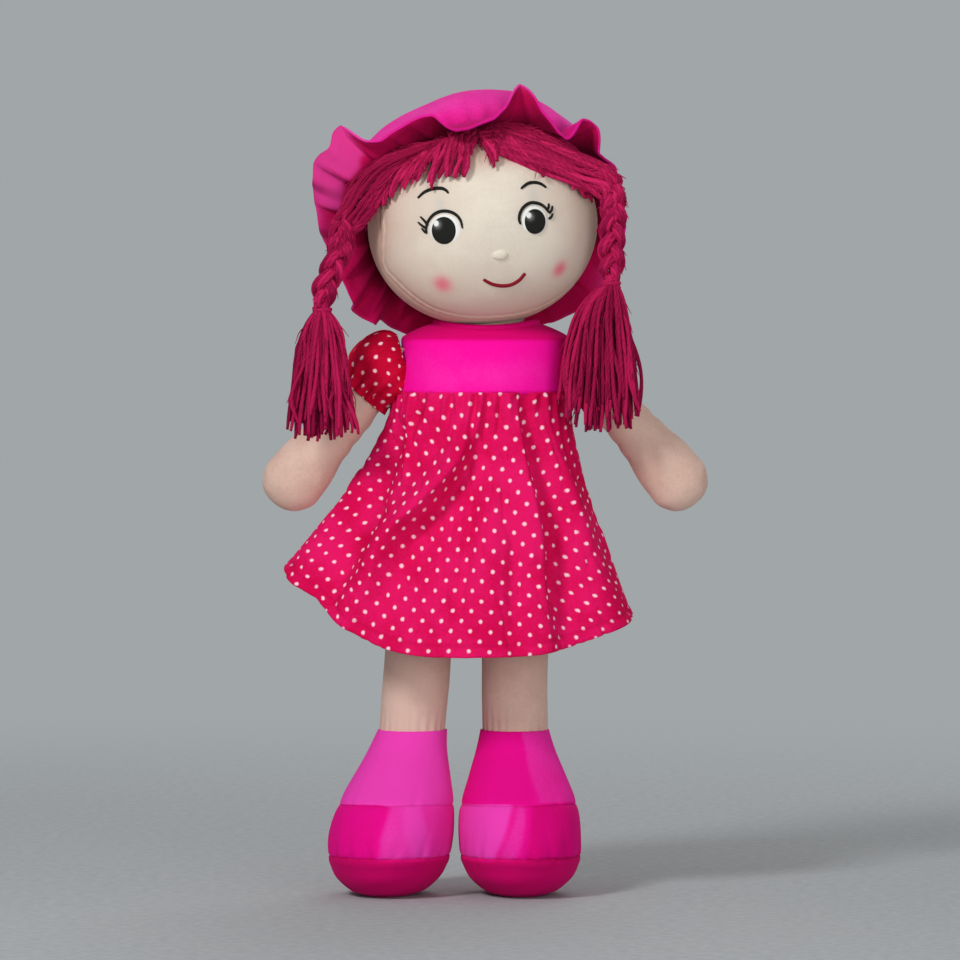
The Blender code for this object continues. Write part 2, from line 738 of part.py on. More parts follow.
def build_shoe(side, ankle, parts, materials):
    """Soft shoe in three sewn pieces, sole, toe band and upper, round the foot filling."""
    name = "left_" if side > 0 else "right_"
    turn = LEFT_SHOE_TURN if side > 0 else -RIGHT_SHOE_TURN
    offset = -SHOE_LEAN + side * SHOE_HALF_SPACING - (-ANKLE_LEAN + side * ANKLE_HALF_SPACING)
    ankle_shift, hinge_place = ankle

    def ring(section, inset, lift, sides):
        z, wide, long, forward = section
        shift = offset * math.sin(math.pi / 2 * (1 - z / SHOE_HEIGHT))
        points = oval((0, -forward, z + lift), wide - inset, long - inset, sides)
        turned = np.array([Matrix.Rotation(turn, 3, "Z") @ Vector(point) for point in points])
        turned[:, 0] += ankle_shift + shift
        turned[:, 2] -= hinge_place.z
        return turned

    def piece(label, low, high, rows, material, bottom):
        half = SEAM_GAP / 2 / SHOE_HEIGHT
        sections = shoe_sections(low + (0 if bottom else half), high - half, rows, bottom)
        outer = [ring(section, 0, 0, BODY_SIDES) for section in sections]
        inner = [ring(section, SKIN_WALL, 0, BODY_SIDES) for section in sections]
        if bottom:
            inner[0] = ring(sections[0], SKIN_WALL, SKIN_WALL, BODY_SIDES)
        mesh = skin_mesh(name + label, outer, inner, bottom, False)
        return new_object(name + label, mesh, parts, material)

    sole = piece("shoe_sole", 0, SOLE_SEAM_SHARE, 4, materials["velour_dark"], True)
    band = piece("shoe_toe_band", SOLE_SEAM_SHARE, BAND_SEAM_SHARE, 3, materials["velour"], False)
    upper = piece("shoe_upper", BAND_SEAM_SHARE, 1, 4, materials["velour"], False)
    inset = SKIN_WALL + FILLING_GAP + SHOE_HALF_LENGTH * (1 - math.cos(math.pi / BODY_SIDES))
    rings = [ring(section, inset, 0, FILLING_SIDES) for section in shoe_sections(0.07, 0.985, 7)]
    mesh = mesh_from_rings(name + "foot_filling", rings, True, True)
    filling = new_object(name + "foot_filling", mesh, parts, materials["filling"])
    return [sole, band, upper, filling]


def build_hip_strip(parts, materials):
    """Flat unstuffed strip between the torso's lower seam and the tops of both legs."""
    shape = bmesh.new()
    bmesh.ops.create_cube(shape, size=1)
    height = STRIP_HEIGHT + STRIP_THICKNESS
    bmesh.ops.scale(shape, vec=(2 * STRIP_HALF_WIDTH, STRIP_THICKNESS, height), verts=shape.verts)
    bmesh.ops.translate(shape, vec=(0, 0, -STRIP_HEIGHT / 2), verts=shape.verts)
    mesh = bpy.data.meshes.new("hip_strip")
    shape.to_mesh(mesh)
    shape.free()
    strip = new_object("hip_strip", mesh, parts, materials["skin"])
    strip.location = (-HIP_LEAN, 0, SIT_HINGE_Z)
    edge = strip.modifiers.new("round", "BEVEL")
    edge.width = STRIP_THICKNESS * 0.499
    edge.segments = 3
    return [strip]


def head_tilt():
    """The head's turn to the doll's left, with the face up a little and its left side higher."""
    return (Matrix.Rotation(HEAD_YAW, 3, "Z") @ Matrix.Rotation(-HEAD_PITCH, 3, "X")
            @ Matrix.Rotation(-HEAD_ROLL, 3, "Y"))


def press_on_head(points, lift):
    """Bring points onto the head's egg form and lift them off it along its normal."""
    points = np.asarray(points, dtype=float)
    half = np.array((HEAD_HALF_WIDTH, HEAD_HALF_DEPTH, HEAD_HALF_HEIGHT))
    on = points / np.linalg.norm(points / half, axis=-1, keepdims=True)
    normal = on / half**2
    normal /= np.linalg.norm(normal, axis=-1, keepdims=True)
    return on + normal * lift


def head_direction(round_angle, up_angle):
    """Point on the head at an angle round from the front and up from the middle, in degrees."""
    round_angle, up_angle = np.radians(round_angle), np.radians(up_angle)
    return np.stack((HEAD_HALF_WIDTH * np.cos(up_angle) * np.sin(round_angle),
                     -HEAD_HALF_DEPTH * np.cos(up_angle) * np.cos(round_angle),
                     HEAD_HALF_HEIGHT * np.sin(up_angle)), axis=-1)


def head_rings(start_y, end_y, rows, sides, inset=0.0):
    """Rings round the head's front to back axis between two depths."""
    half_x, half_y = HEAD_HALF_WIDTH - inset, HEAD_HALF_DEPTH - inset
    half_z = HEAD_HALF_HEIGHT - inset
    start, end = math.asin(start_y / half_y), math.asin(end_y / HEAD_HALF_DEPTH)
    turn = np.arange(sides) * 2 * math.pi / sides
    rings = []
    for tilt in np.linspace(start, end, rows):
        rings.append(np.stack((half_x * math.cos(tilt) * np.cos(turn),
                               np.full(sides, half_y * math.sin(tilt)),
                               half_z * math.cos(tilt) * np.sin(turn)), axis=1))
    return rings


def head_egg(name, inset, segments, rings):
    """Closed egg of the head's form."""
    shape = bmesh.new()
    bmesh.ops.create_uvsphere(shape, u_segments=segments, v_segments=rings, radius=1)
    bmesh.ops.scale(shape, verts=shape.verts, vec=(HEAD_HALF_WIDTH - inset,
                                                   HEAD_HALF_DEPTH - inset,
                                                   HEAD_HALF_HEIGHT - inset))
    mesh = bpy.data.meshes.new(name)
    shape.to_mesh(mesh)
    shape.free()
    return mesh


def build_head(pivot, parts, cutters, materials):
    """Face panel, back panel and filling, with the sewn face."""
    pole = HEAD_POLE_SHARE * HEAD_HALF_DEPTH
    made = []
    for name, way, rows in (("face_panel", -1, 6), ("head_back_panel", 1, 8)):
        seam = -FACE_SEAM_FORWARD + way * SEAM_GAP / 2
        outer = head_rings(seam, way * pole, rows, BODY_SIDES)
        inner = head_rings(seam, way * pole, rows, BODY_SIDES, HEAD_WALL)
        made.append(new_object(name, skin_mesh(name, outer, inner, False, True), parts,
                               materials["face"]))
    inset = HEAD_WALL + FILLING_GAP + HEAD_HALF_WIDTH * (1 - math.cos(math.pi / BODY_SIDES))
    filling = new_object("head_filling", head_egg("head_filling", inset, 16, 10),
                         parts, materials["filling"])
    cutter = hide_cutter(new_object("head_cutter", head_egg("head_cutter", -2 * SEAM_GAP, 32, 20),
                                    cutters))
    made += [filling] + build_face(cutter, parts, materials)
    for item in made + [cutter]:
        item.parent = pivot
    return made, cutter


def patch_rings(angles, half_wide, half_high, rows, sides):
    """Rings of a round patch pressed on the head at a pair of angles."""
    middle = head_direction(*angles)
    outward = Vector(middle / np.array((HEAD_HALF_WIDTH, HEAD_HALF_DEPTH, HEAD_HALF_HEIGHT)) ** 2)
    across = Vector((0, 0, 1)).cross(outward).normalized()
    upward = outward.cross(across).normalized()
    turn = np.arange(sides) * 2 * math.pi / sides
    rings = []
    for share in np.linspace(1, 1 / rows, rows):
        flat = (middle + np.outer(np.cos(turn) * half_wide * share, across)
                + np.outer(np.sin(turn) * half_high * share, upward))
        rings.append(press_on_head(flat, SEAM_GAP))
    return rings


def arc_on_head(angles, half_wide, sag, points):
    """Points of a shallow arc pressed on the head: its ends rise above its middle by the sag."""
    middle = head_direction(*angles)
    outward = Vector(middle / np.array((HEAD_HALF_WIDTH, HEAD_HALF_DEPTH, HEAD_HALF_HEIGHT)) ** 2)
    across = Vector((0, 0, 1)).cross(outward).normalized()
    upward = outward.cross(across).normalized()
    place = np.linspace(-1, 1, points)
    flat = middle + np.outer(place * half_wide, across) + np.outer(place**2 * sag, upward)
    return press_on_head(flat, SEAM_GAP + THREAD_RADIUS)


def build_face(cutter, parts, materials):
    """Embroidered eyes, brows and mouth, and a small stuffed nose."""
    made = []
    for side in ("left", "right"):
        wide = EYE_RADIUS * EYE_WIDTH_SHARE[side]
        rings = patch_rings(EYE_ANGLES[side], wide, EYE_RADIUS, 2, 14)
        eye = new_object(side + "_eye", mesh_from_rings(side + "_eye", rings, False, True),
                         parts, materials["eye"])
        add_wall(eye, PATCH_THICKNESS, 1)
        made.append(eye)
        brow = arc_on_head(BROW_ANGLES[side], BROW_HALF_WIDTH, -BROW_ARCH, 7)
        made.append(tube_object(side + "_brow", brow, THREAD_RADIUS, parts, materials["thread"]))
    smile = arc_on_head(MOUTH_ANGLES, MOUTH_HALF_WIDTH, MOUTH_SAG, 9)
    made.append(tube_object("mouth", smile, THREAD_RADIUS, parts, materials["mouth"]))
    shape = bmesh.new()
    bmesh.ops.create_uvsphere(shape, u_segments=12, v_segments=8, radius=1)
    bmesh.ops.scale(shape, verts=shape.verts, vec=(NOSE_HALF_WIDTH, NOSE_STAND, NOSE_HALF_HEIGHT))
    mesh = bpy.data.meshes.new("nose")
    shape.to_mesh(mesh)
    shape.free()
    nose = new_object("nose", mesh, parts, materials["face"])
    nose.location = head_direction(*NOSE_ANGLES)
    add_cut(nose, cutter)
    made.append(nose)
    return made


def build_neck(cutter, parts, materials):
    """Stuffed neck between the torso's opening and the head, cut to the head."""
    low = TORSO_TOP_Z + SEAM_GAP
    high = TORSO_TOP_Z + NECK_RISE + CUT_OVERRUN
    rings = []
    for share in (0, 0.5, 1):
        z = low + (high - low) * share
        radius = NECK_RADIUS - SKIN_WALL - SKIN_WALL * math.sin(math.pi * share)
        rings.append(oval((0, 0, z - low), radius, radius * 0.9, LIMB_SIDES))
    neck = new_object("neck", mesh_from_rings("neck", rings, True, True), parts,
                      materials["skin"])
    neck.location = (0, 0, low)
    add_cut(neck, cutter)
    return [neck]


def cap_frame():
    """Turn from the cap's own axes, crown up along Z, to the head's: the cap tips to the back."""
    return np.array(Matrix.Rotation(-CAP_TILT, 3, "X"))


def cap_half_sizes(ease):
    """Half sizes of the head's section in the plane of the cap's opening.

    The plane lies behind the head's middle by the setback, where the egg form is smaller.
    """
    across = 1 / math.hypot(math.cos(CAP_TILT) / HEAD_HALF_DEPTH,
                            math.sin(CAP_TILT) / HEAD_HALF_HEIGHT)
    deep = math.hypot(math.sin(CAP_TILT) * HEAD_HALF_DEPTH, math.cos(CAP_TILT) * HEAD_HALF_HEIGHT)
    smaller = math.sqrt(1 - (CAP_SETBACK / deep) ** 2)
    return HEAD_HALF_WIDTH * smaller + ease, across * smaller + ease


def cap_ring(half_x, half_y, rise, sides):
    """One ring of the cap in the head's axes: turn 0 is at the forehead."""
    turn = np.arange(sides) * 2 * math.pi / sides
    flat = np.stack((half_x * np.sin(turn), -half_y * np.cos(turn),
                     np.full(sides, CAP_SETBACK) + rise), axis=1)
    return flat @ cap_frame().T


def crown_rings(inset, sides):
    """Rings of the crown: it puffs out above the brim seam and closes behind the head."""
    edge_x, edge_y = cap_half_sizes(CAP_EASE + VELOUR_WALL)
    rings = []
    for rise, wide in CROWN_SHARES:
        half = [edge if wide is None else (edge + CAP_PUFF) * wide for edge in (edge_x, edge_y)]
        rings.append(cap_ring(half[0] - inset, half[1] - inset, rise * CAP_CROWN_RISE, sides))
    return rings


def build_cap(pivot, parts, materials):
    """Puffed crown and ruffled brim of the cap, worn tipped to the back of the head."""
    sides = BODY_SIDES + 4
    inner = crown_rings(VELOUR_WALL, sides)
    inner[-1] = inner[-1] - cap_frame()[:, 2] * VELOUR_WALL
    mesh = skin_mesh("cap_crown", crown_rings(0, sides), inner, False, True)
    crown = new_object("cap_crown", mesh, parts, materials["velour"])
    brim = new_object("cap_brim", mesh_from_rings("cap_brim", brim_rings()), parts,
                      materials["velour"])
    add_wall(brim, VELOUR_WALL, -1)
    for item in (crown, brim):
        item.parent = pivot
    return [crown, brim]


def brim_rings():
    """Rings of the brim: a band that flares from the cap's edge, thrown into waves.

    Turn 0 is the forehead. The flare angle, measured from straight forward, is least there and
    greatest at the nape. The waves stand square to the brim and grow towards its free edge.
    """
    edge_x, edge_y = cap_half_sizes(CAP_EASE + VELOUR_WALL)
    sides = 6 * BRIM_WAVES
    turn = np.arange(sides) * 2 * math.pi / sides
    flare = BRIM_FLARE - BRIM_FLARE_SWING * np.cos(turn)
    rings = []
    for share in (0, 0.34, 0.68, 1):
        out = BRIM_WIDTH * share
        wave = BRIM_WAVE_DEPTH * share**1.3 * np.cos(BRIM_WAVES * (turn + BRIM_WAVE_START))
        radial = out * np.sin(flare) + wave * np.cos(flare)
        rise = wave * np.sin(flare) - out * np.cos(flare) - SEAM_GAP
        rings.append(cap_ring(edge_x + radial, edge_y + radial, rise, sides))
    return rings


def build_fringe(side, pivot, parts, materials):
    """Fringe of yarn on one side of the parting, in locks with a ragged lower edge."""
    label = "left" if side > 0 else "right"
    columns = 4 * FRINGE_LOCKS + 1
    around, top, end = smooth_rows(FRINGE_ANGLES[label], columns).T
    lock = np.abs(np.sin(np.linspace(0, math.pi * FRINGE_LOCKS, columns)))
    end = end - FRINGE_LOCK_ANGLE * lock
    rows = []
    for share in (0, 0.33, 0.66, 1):
        up = top + (end - top) * share
        rows.append(press_on_head(head_direction(side * around, up), 2 * SEAM_GAP)[::side])
    name = label + "_fringe"
    fringe = new_object(name, sheet_mesh(name, rows), parts, materials["yarn"])
    fringe.data.flip_normals()
    add_wall(fringe, FRINGE_THICKNESS, 1)
    fringe.parent = pivot
    return fringe


def braid_root(side):
    """Hinge of a braid, where its strands leave the side hair."""
    sizes = BRAIDS["left" if side > 0 else "right"]
    return Vector((side * sizes["root_out"] - HEAD_SIDE_SHIFT, -sizes["forward"],
                   HEAD_Z + sizes["root_rise"]))


def build_side_hair(side, pivot, parts, materials):
    """Lock of yarn that sweeps over the temple to the braid's root."""
    label = "left" if side > 0 else "right"
    name = label + "_side_hair"
    angles = np.array(SIDE_HAIR_ANGLES[label], dtype=float)
    lift = SIDE_HAIR_LIFT + SIDE_HAIR_HALF_THICKNESS
    middles = list(press_on_head(head_direction(side * angles[:, 0], angles[:, 1]), lift))
    root = braid_root(side) + Vector((0, 0, SEAM_GAP))
    for place in (root + Vector((0, 0, SIDE_HAIR_HALF_WIDTH)), root):
        middles.append(np.array(head_tilt().transposed() @ (place - HEAD_PLACE)))
    middles = smooth_rows(middles, 11)
    shares = smooth_rows(SIDE_HAIR_SHARES, 11)
    along = np.gradient(middles, axis=0)
    along[-2:] = np.array(head_tilt().transposed() @ Vector((0, 0, -1)))
    turn = np.arange(10) * 2 * math.pi / 10
    rings = []
    for middle, way, (wide, thick) in zip(middles, along, shares):
        outward = Vector(middle / np.array((HEAD_HALF_WIDTH, HEAD_HALF_DEPTH,
                                            HEAD_HALF_HEIGHT)) ** 2).normalized()
        across = Vector(way).cross(outward).normalized()
        outward = across.cross(Vector(way)).normalized()
        rings.append(middle + np.outer(np.cos(turn) * SIDE_HAIR_HALF_WIDTH * wide, across)
                     + np.outer(np.sin(turn) * SIDE_HAIR_HALF_THICKNESS * thick, outward))
    hair = new_object(name, mesh_from_rings(name, rings, True, True), parts, materials["yarn"])
    hair.parent = pivot
    return hair


def braid_strand(phase, sizes, side):
    """Middle line of one strand of a three-strand braid, down from the root.

    The strand swings to each side once in a pitch and forward and back twice, and the three
    strands follow each other a third of a pitch apart. Above the tie they stop turning and draw
    together into a bundle, which the tie goes round. They start straight below the root, those in
    front lower, so that the braid can swing forward.
    """
    length = sizes["length"]
    pack_start, pack_end = length - 2.2 * TIE_HEIGHT, length - 1.1 * TIE_HEIGHT
    root_turn = math.pi / 2 + phase - 2 * math.pi * (pack_start - BRAID_STRAIGHT) / BRAID_PITCH
    front = STRAND_RADIUS - BRAID_HALF_DEPTH * math.sin(2 * root_turn)
    start = BRAID_SLACK + max(0.0, front) * math.tan(BRAID_SWING)
    down = np.concatenate(((start,), np.linspace(BRAID_STRAIGHT, pack_end, 19), (length,)))
    turning = np.clip(pack_start - down, 0, pack_start - BRAID_STRAIGHT)
    turn = math.pi / 2 + phase - 2 * math.pi * turning / BRAID_PITCH
    pack = np.clip((down - pack_start) / (pack_end - pack_start), 0, 1)
    pack = pack * pack * (3 - 2 * pack)
    packed = 2 / math.sqrt(3) * (STRAND_RADIUS + SEAM_GAP)
    wide = BRAID_HALF_WIDTH + (packed - BRAID_HALF_WIDTH) * pack
    deep = BRAID_HALF_DEPTH + (packed - BRAID_HALF_DEPTH) * pack
    share = down / pack_end
    share = np.clip(share, 0, 1)
    lean = side * (sizes["tie_out"] - sizes["root_out"]) * share * share * (3 - 2 * share)
    return np.stack((wide * np.sin(turn) + lean, deep * np.sin(2 * turn), -down), axis=1)


def build_braid(side, parts, materials):
    """One braid of three strands, its tie and its tassel, hung from the temple."""
    label = "left" if side > 0 else "right"
    sizes = BRAIDS[label]
    hinge = new_empty(label + "_braid_hinge", braid_root(side), parts)
    made = []
    for number in range(3):
        name = f"{label}_braid_strand_{number + 1}"
        points = braid_strand(number * 2 * math.pi / 3, sizes, side)
        made.append(tube_object(name, points, STRAND_RADIUS, parts, materials["yarn"], False, 1))
    bundle = 2 / math.sqrt(3) * (STRAND_RADIUS + SEAM_GAP) + STRAND_RADIUS
    tie_x = side * (sizes["tie_out"] - sizes["root_out"])
    inner = bundle + SEAM_GAP
    profile = [(inner, -0.5), (inner, 0.5), (inner + TIE_WALL, 0.3), (inner + TIE_WALL, -0.3)]
    turn = np.arange(LIMB_SIDES) * 2 * math.pi / LIMB_SIDES
    rings = [np.stack((radius * np.cos(turn), radius * np.sin(turn),
                       np.full(LIMB_SIDES, height * TIE_HEIGHT)), axis=1)
             for radius, height in profile]
    tie = new_object(label + "_hair_tie", ring_mesh(label + "_hair_tie", rings), parts,
                     materials["yarn"])
    tie.location = (tie_x, 0, -sizes["length"] + TIE_HEIGHT / 2)
    made.append(tie)
    tassel = new_object(label + "_tassel", tassel_mesh(label + "_tassel", sizes, side, bundle),
                        parts, materials["yarn"])
    tassel.location = (tie_x, 0, -sizes["length"] - SEAM_GAP)
    made.append(tassel)
    for item in made:
        item.parent = hinge
    return made


def ring_mesh(name, rings):
    """Join rings of points into a closed ring: the last joins the first again."""
    count, sides = len(rings), len(rings[0])
    shape = bmesh.new()
    grid = [[shape.verts.new(point) for point in ring] for ring in rings]
    for row in range(count):
        for side in range(sides):
            after, below = (side + 1) % sides, (row + 1) % count
            shape.faces.new((grid[row][side], grid[row][after],
                             grid[below][after], grid[below][side]))
    bmesh.ops.recalc_face_normals(shape, faces=shape.faces)
    mesh = bpy.data.meshes.new(name)
    shape.to_mesh(mesh)
    shape.free()
    return mesh


def tassel_mesh(name, sizes, side, bundle):
    """Tassel of loose yarn ends: a ridged bundle that spreads from the tie to its ragged end."""
    sides = 2 * TASSEL_RIDGES
    turn = np.arange(sides) * 2 * math.pi / sides
    ridge = np.where(np.arange(sides) % 2 == 0, 1.0, 0.84)
    rings = []
    for share in (0, 0.1, 0.25, 0.45, 0.7, 1):
        spread = min(1.0, share * 1.6) ** 0.7
        wide = bundle + (sizes["tassel_half_width"] - bundle) * spread
        deep = bundle + (TASSEL_HALF_DEPTH - bundle) * spread
        ragged = 0.06 * np.sin(5 * turn + share) * share**2
        rings.append(np.stack((wide * ridge * np.cos(turn) + side * sizes["tassel_out"] * share,
                               deep * ridge * np.sin(turn),
                               -sizes["tassel_length"] * (share - ragged)), axis=1))
    return mesh_from_rings(name, rings, True, True)


def main():
    """Build the whole doll."""
    clear_scene()
    parts = new_collection("rag_doll")
    cutters = new_collection("cutters")
    materials = {name: new_material(name, colour) for name, colour in COLOURS.items()}
    pivot = new_empty("head_middle", HEAD_PLACE, parts, head_tilt())
    build_torso(parts, materials)
    build_dress(parts, cutters, materials)
    build_hip_strip(parts, materials)
    _, head_cutter = build_head(pivot, parts, cutters, materials)
    build_neck(head_cutter, parts, materials)
    build_cap(pivot, parts, materials)
    for side in (-1, 1):
        build_arm(side, parts, materials)
        build_leg(side, parts, materials)
        build_fringe(side, pivot, parts, materials)
        build_side_hair(side, pivot, parts, materials)
        build_braid(side, parts, materials)
    stand = new_empty("doll_middle", STANCE, parts)
    for item in list(parts.objects) + list(cutters.objects):
        if item.parent is None and item is not stand:
            item.parent = stand
    bpy.context.view_layer.update()


main()
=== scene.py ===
"""Looks of the stuffed rag doll: cloth, velour, yarn and embroidery round its fixed frame.

Every length is in metres, in the doll's own frame: X to its left, Y to its back, Z up. A piece is
a function of two parameters, worked out on a whole grid at once, and it stands for the solids of
the frame that it is named after.
"""

from __future__ import annotations

import logging
import math
from dataclasses import dataclass, field, replace
from enum import Enum
from typing import Sequence

import bpy
import numpy as np
from mathutils import Matrix, Vector

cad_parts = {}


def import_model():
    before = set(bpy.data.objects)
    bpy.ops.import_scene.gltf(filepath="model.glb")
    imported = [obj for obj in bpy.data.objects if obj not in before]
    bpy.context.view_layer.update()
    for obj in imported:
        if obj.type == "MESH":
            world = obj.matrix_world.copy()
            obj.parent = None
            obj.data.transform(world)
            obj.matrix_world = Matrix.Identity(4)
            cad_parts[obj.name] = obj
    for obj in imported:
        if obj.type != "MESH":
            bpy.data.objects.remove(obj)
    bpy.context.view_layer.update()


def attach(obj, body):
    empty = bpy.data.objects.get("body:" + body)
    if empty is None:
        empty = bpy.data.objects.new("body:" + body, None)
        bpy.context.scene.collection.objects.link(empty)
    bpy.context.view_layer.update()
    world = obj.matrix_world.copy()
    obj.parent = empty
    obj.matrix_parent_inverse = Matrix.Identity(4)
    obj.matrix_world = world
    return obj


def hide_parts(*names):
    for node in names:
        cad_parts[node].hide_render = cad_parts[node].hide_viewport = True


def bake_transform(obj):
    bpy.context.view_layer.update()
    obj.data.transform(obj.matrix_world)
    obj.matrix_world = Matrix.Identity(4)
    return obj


log = logging.getLogger("rag_doll")

MM = 0.001
TURN = 2 * math.pi
STANCE = np.array((0.6 * MM, 0.85 * MM, 0.0))
Array = np.ndarray
UP = np.array((0.0, 0.0, 1.0))
FRONT = np.array((0.0, -1.0, 0.0))
GOLDEN_SHARE = 0.38197
GOLDEN_TURN = 2.39996


class Side(Enum):
    """A side of the doll, by its own left and right."""

    RIGHT = -1
    LEFT = 1

    @property
    def label(self) -> str:
        """The side's word in the names of bodies and nodes."""
        return self.name.lower()


# Numbers on whole arrays


def unit(vectors: Array) -> Array:
    """Vectors brought to length one along their last axis."""
    return vectors / np.maximum(np.linalg.norm(vectors, axis=-1, keepdims=True), 1e-12)


def grid(*coordinates: Array | float) -> Array:
    """Points from their coordinates, each spread to the shape of the whole grid."""
    return np.stack(np.broadcast_arrays(*coordinates), axis=-1)


def circle(count: int) -> Array:
    """Evenly spread angles, once round."""
    return np.arange(count) * TURN / count


def joined(rows: Array) -> Array:
    """Rows with their first column once more at their end."""
    return np.concatenate((rows, rows[:, :1]), axis=1)


def turn_matrix(angle: float, axis: str) -> Array:
    """Turn by an angle about one of the three axes."""
    return np.array(Matrix.Rotation(angle, 3, axis))


def along_table(table: Sequence[Sequence[float]] | Array, places: Array) -> Array:
    """Read a table of rows on the smooth curve that passes through every row.

    The curve is Catmull-Rom: between rows b and c, with neighbours a and d, it is
    (2b + (c-a)t + (2a-5b+4c-d)t^2 + (3b-a-3c+d)t^3) / 2.

    Args:
        table: the rows, of any width.
        places: where to read, 0 at the first row and 1 at the last.

    Returns:
        One row for each place.
    """
    table = np.asarray(table, dtype=float)
    padded = np.concatenate((2 * table[:1] - table[1:2], table, 2 * table[-1:] - table[-2:-1]))
    where = np.clip(places, 0, 1) * (len(table) - 1)
    start = np.minimum(where.astype(int), len(table) - 2)
    t = (where - start).reshape((-1,) + (1,) * (table.ndim - 1))
    a, b, c, d = (padded[start + step] for step in range(4))
    return 0.5 * (2 * b + (c - a) * t + (2 * a - 5 * b + 4 * c - d) * t**2
                  + (3 * b - a - 3 * c + d) * t**3)


def smooth_step(value: Array | float, low: float, high: float) -> Array:
    """Rise from 0 at low to 1 at high with level ends."""
    t = np.clip((np.asarray(value) - low) / (high - low), 0, 1)
    return t * t * (3 - 2 * t)


def hump(value: Array | float, middle: Array | float, width: float) -> Array:
    """Bell of height one: exp(-((value - middle) / width)^2)."""
    return np.exp(-((np.asarray(value) - middle) / width) ** 2)


def ripple(points: Array, size: float, seed: int, terms: int = 10) -> Array:
    """Soft unevenness: a sum of sine waves in seeded directions, from about -1 to 1.

    Args:
        points: places, with their three coordinates last.
        size: the usual width of a swell.
        seed: which pattern.
        terms: how many waves are summed.

    Returns:
        One value for each place.
    """
    random = np.random.default_rng(seed)
    ways = unit(random.normal(size=(terms, 3))) * TURN
    ways = ways / (size * random.uniform(1.2, 2.6, (terms, 1)))
    shifts = random.uniform(0, TURN, terms)
    return np.sin(points @ ways.T + shifts).sum(axis=-1) / math.sqrt(terms) * 0.8


def arc_length(points: Array, axis: int) -> Array:
    """Distance walked along one axis of a grid of points, from its first row."""
    steps = np.linalg.norm(np.diff(points, axis=axis), axis=-1)
    walked = np.cumsum(steps, axis=axis)
    return np.concatenate((np.zeros_like(np.take(walked, [0], axis=axis)), walked), axis=axis)


def lengths(points: Array) -> tuple[Array, float]:
    """Length once round each row, and the mean length down the columns."""
    return arc_length(joined(points), 1)[:, -1], float(arc_length(points, 0)[-1].mean())


def bells(distance: Array, *rows: tuple[float, float, float]) -> Array:
    """Relief beside a seam: a sum of bells, each height * exp(-((distance - middle) / width)^2).

    Args:
        distance: distances from the seam.
        rows: height, middle and width of each bell, in millimetres.

    Returns:
        One height for each distance.
    """
    return sum(height * MM * hump(distance, middle * MM, width * MM)
               for height, middle, width in rows)


# Meshes


@dataclass
class Patch:
    """A grid of points with the place of each on its cloth.

    Attributes:
        points: rows by columns by three.
        cloth: rows by columns by two, in metres on the flat cloth; one more column where the
            grid closes round, so that the cloth has two edges there.
        round: the last column joins the first.
        looped: the last row joins the first.
        close_start: the first row is closed by a fan.
        close_end: the last row is closed by a fan.
        marks: named values, one for each point.
    """

    points: Array
    cloth: Array | None = None
    round: bool = False
    looped: bool = False
    close_start: bool = False
    close_end: bool = False
    marks: dict[str, Array] = field(default_factory=dict)

    def corners(self) -> tuple[Array, Array]:
        """Corners of the grid's quads.

        Returns:
            Point numbers and cloth numbers, four to a quad.
        """
        rows, columns = self.points.shape[:2]
        own = np.arange(rows * columns).reshape(rows, columns)
        if self.round:
            own = joined(own)
        if self.looped:
            own = np.concatenate((own, own[:1]), axis=0)
        flat = np.arange(own.size).reshape(own.shape)
        quads = [np.stack((g[:-1, :-1], g[:-1, 1:], g[1:, 1:], g[1:, :-1]), axis=-1).reshape(-1, 4)
                 for g in (own, flat)]
        return quads[0], quads[1]

    def flat_places(self) -> Array:
        """Places on the cloth, or the walked distances where none are given."""
        if self.cloth is not None:
            return self.cloth.reshape(-1, 2)
        points = self.points
        if self.round:
            points = joined(points)
        if self.looped:
            points = np.concatenate((points, points[:1]), axis=0)
        return np.stack((arc_length(points, 1), arc_length(points, 0)), axis=-1).reshape(-1, 2)

    def facing(self, way: Array | None = None) -> Patch:
        """The same patch with its faces turned towards a direction.

        Args:
            way: the direction, one for all quads or one for each; none for away from the
                patch's own middle.

        Returns:
            The patch, its columns in the other order if it faced the wrong way.
        """
        quads, _ = self.corners()
        points = self.points.reshape(-1, 3)
        a, b, c, d = (points[quads[:, corner]] for corner in range(4))
        if way is None:
            way = (a + b + c + d) / 4 - points.mean(axis=0)
        if (np.cross(c - a, d - b) * way).sum() >= 0:
            return self
        return replace(self, points=self.points[:, ::-1],
                       cloth=None if self.cloth is None else self.cloth[:, ::-1],
                       marks={name: values[:, ::-1] for name, values in self.marks.items()})


def closed_form(points: Array) -> Patch:
    """A patch that closes round and at both ends, with its faces outwards."""
    return Patch(points, None, True, False, True, True).facing()


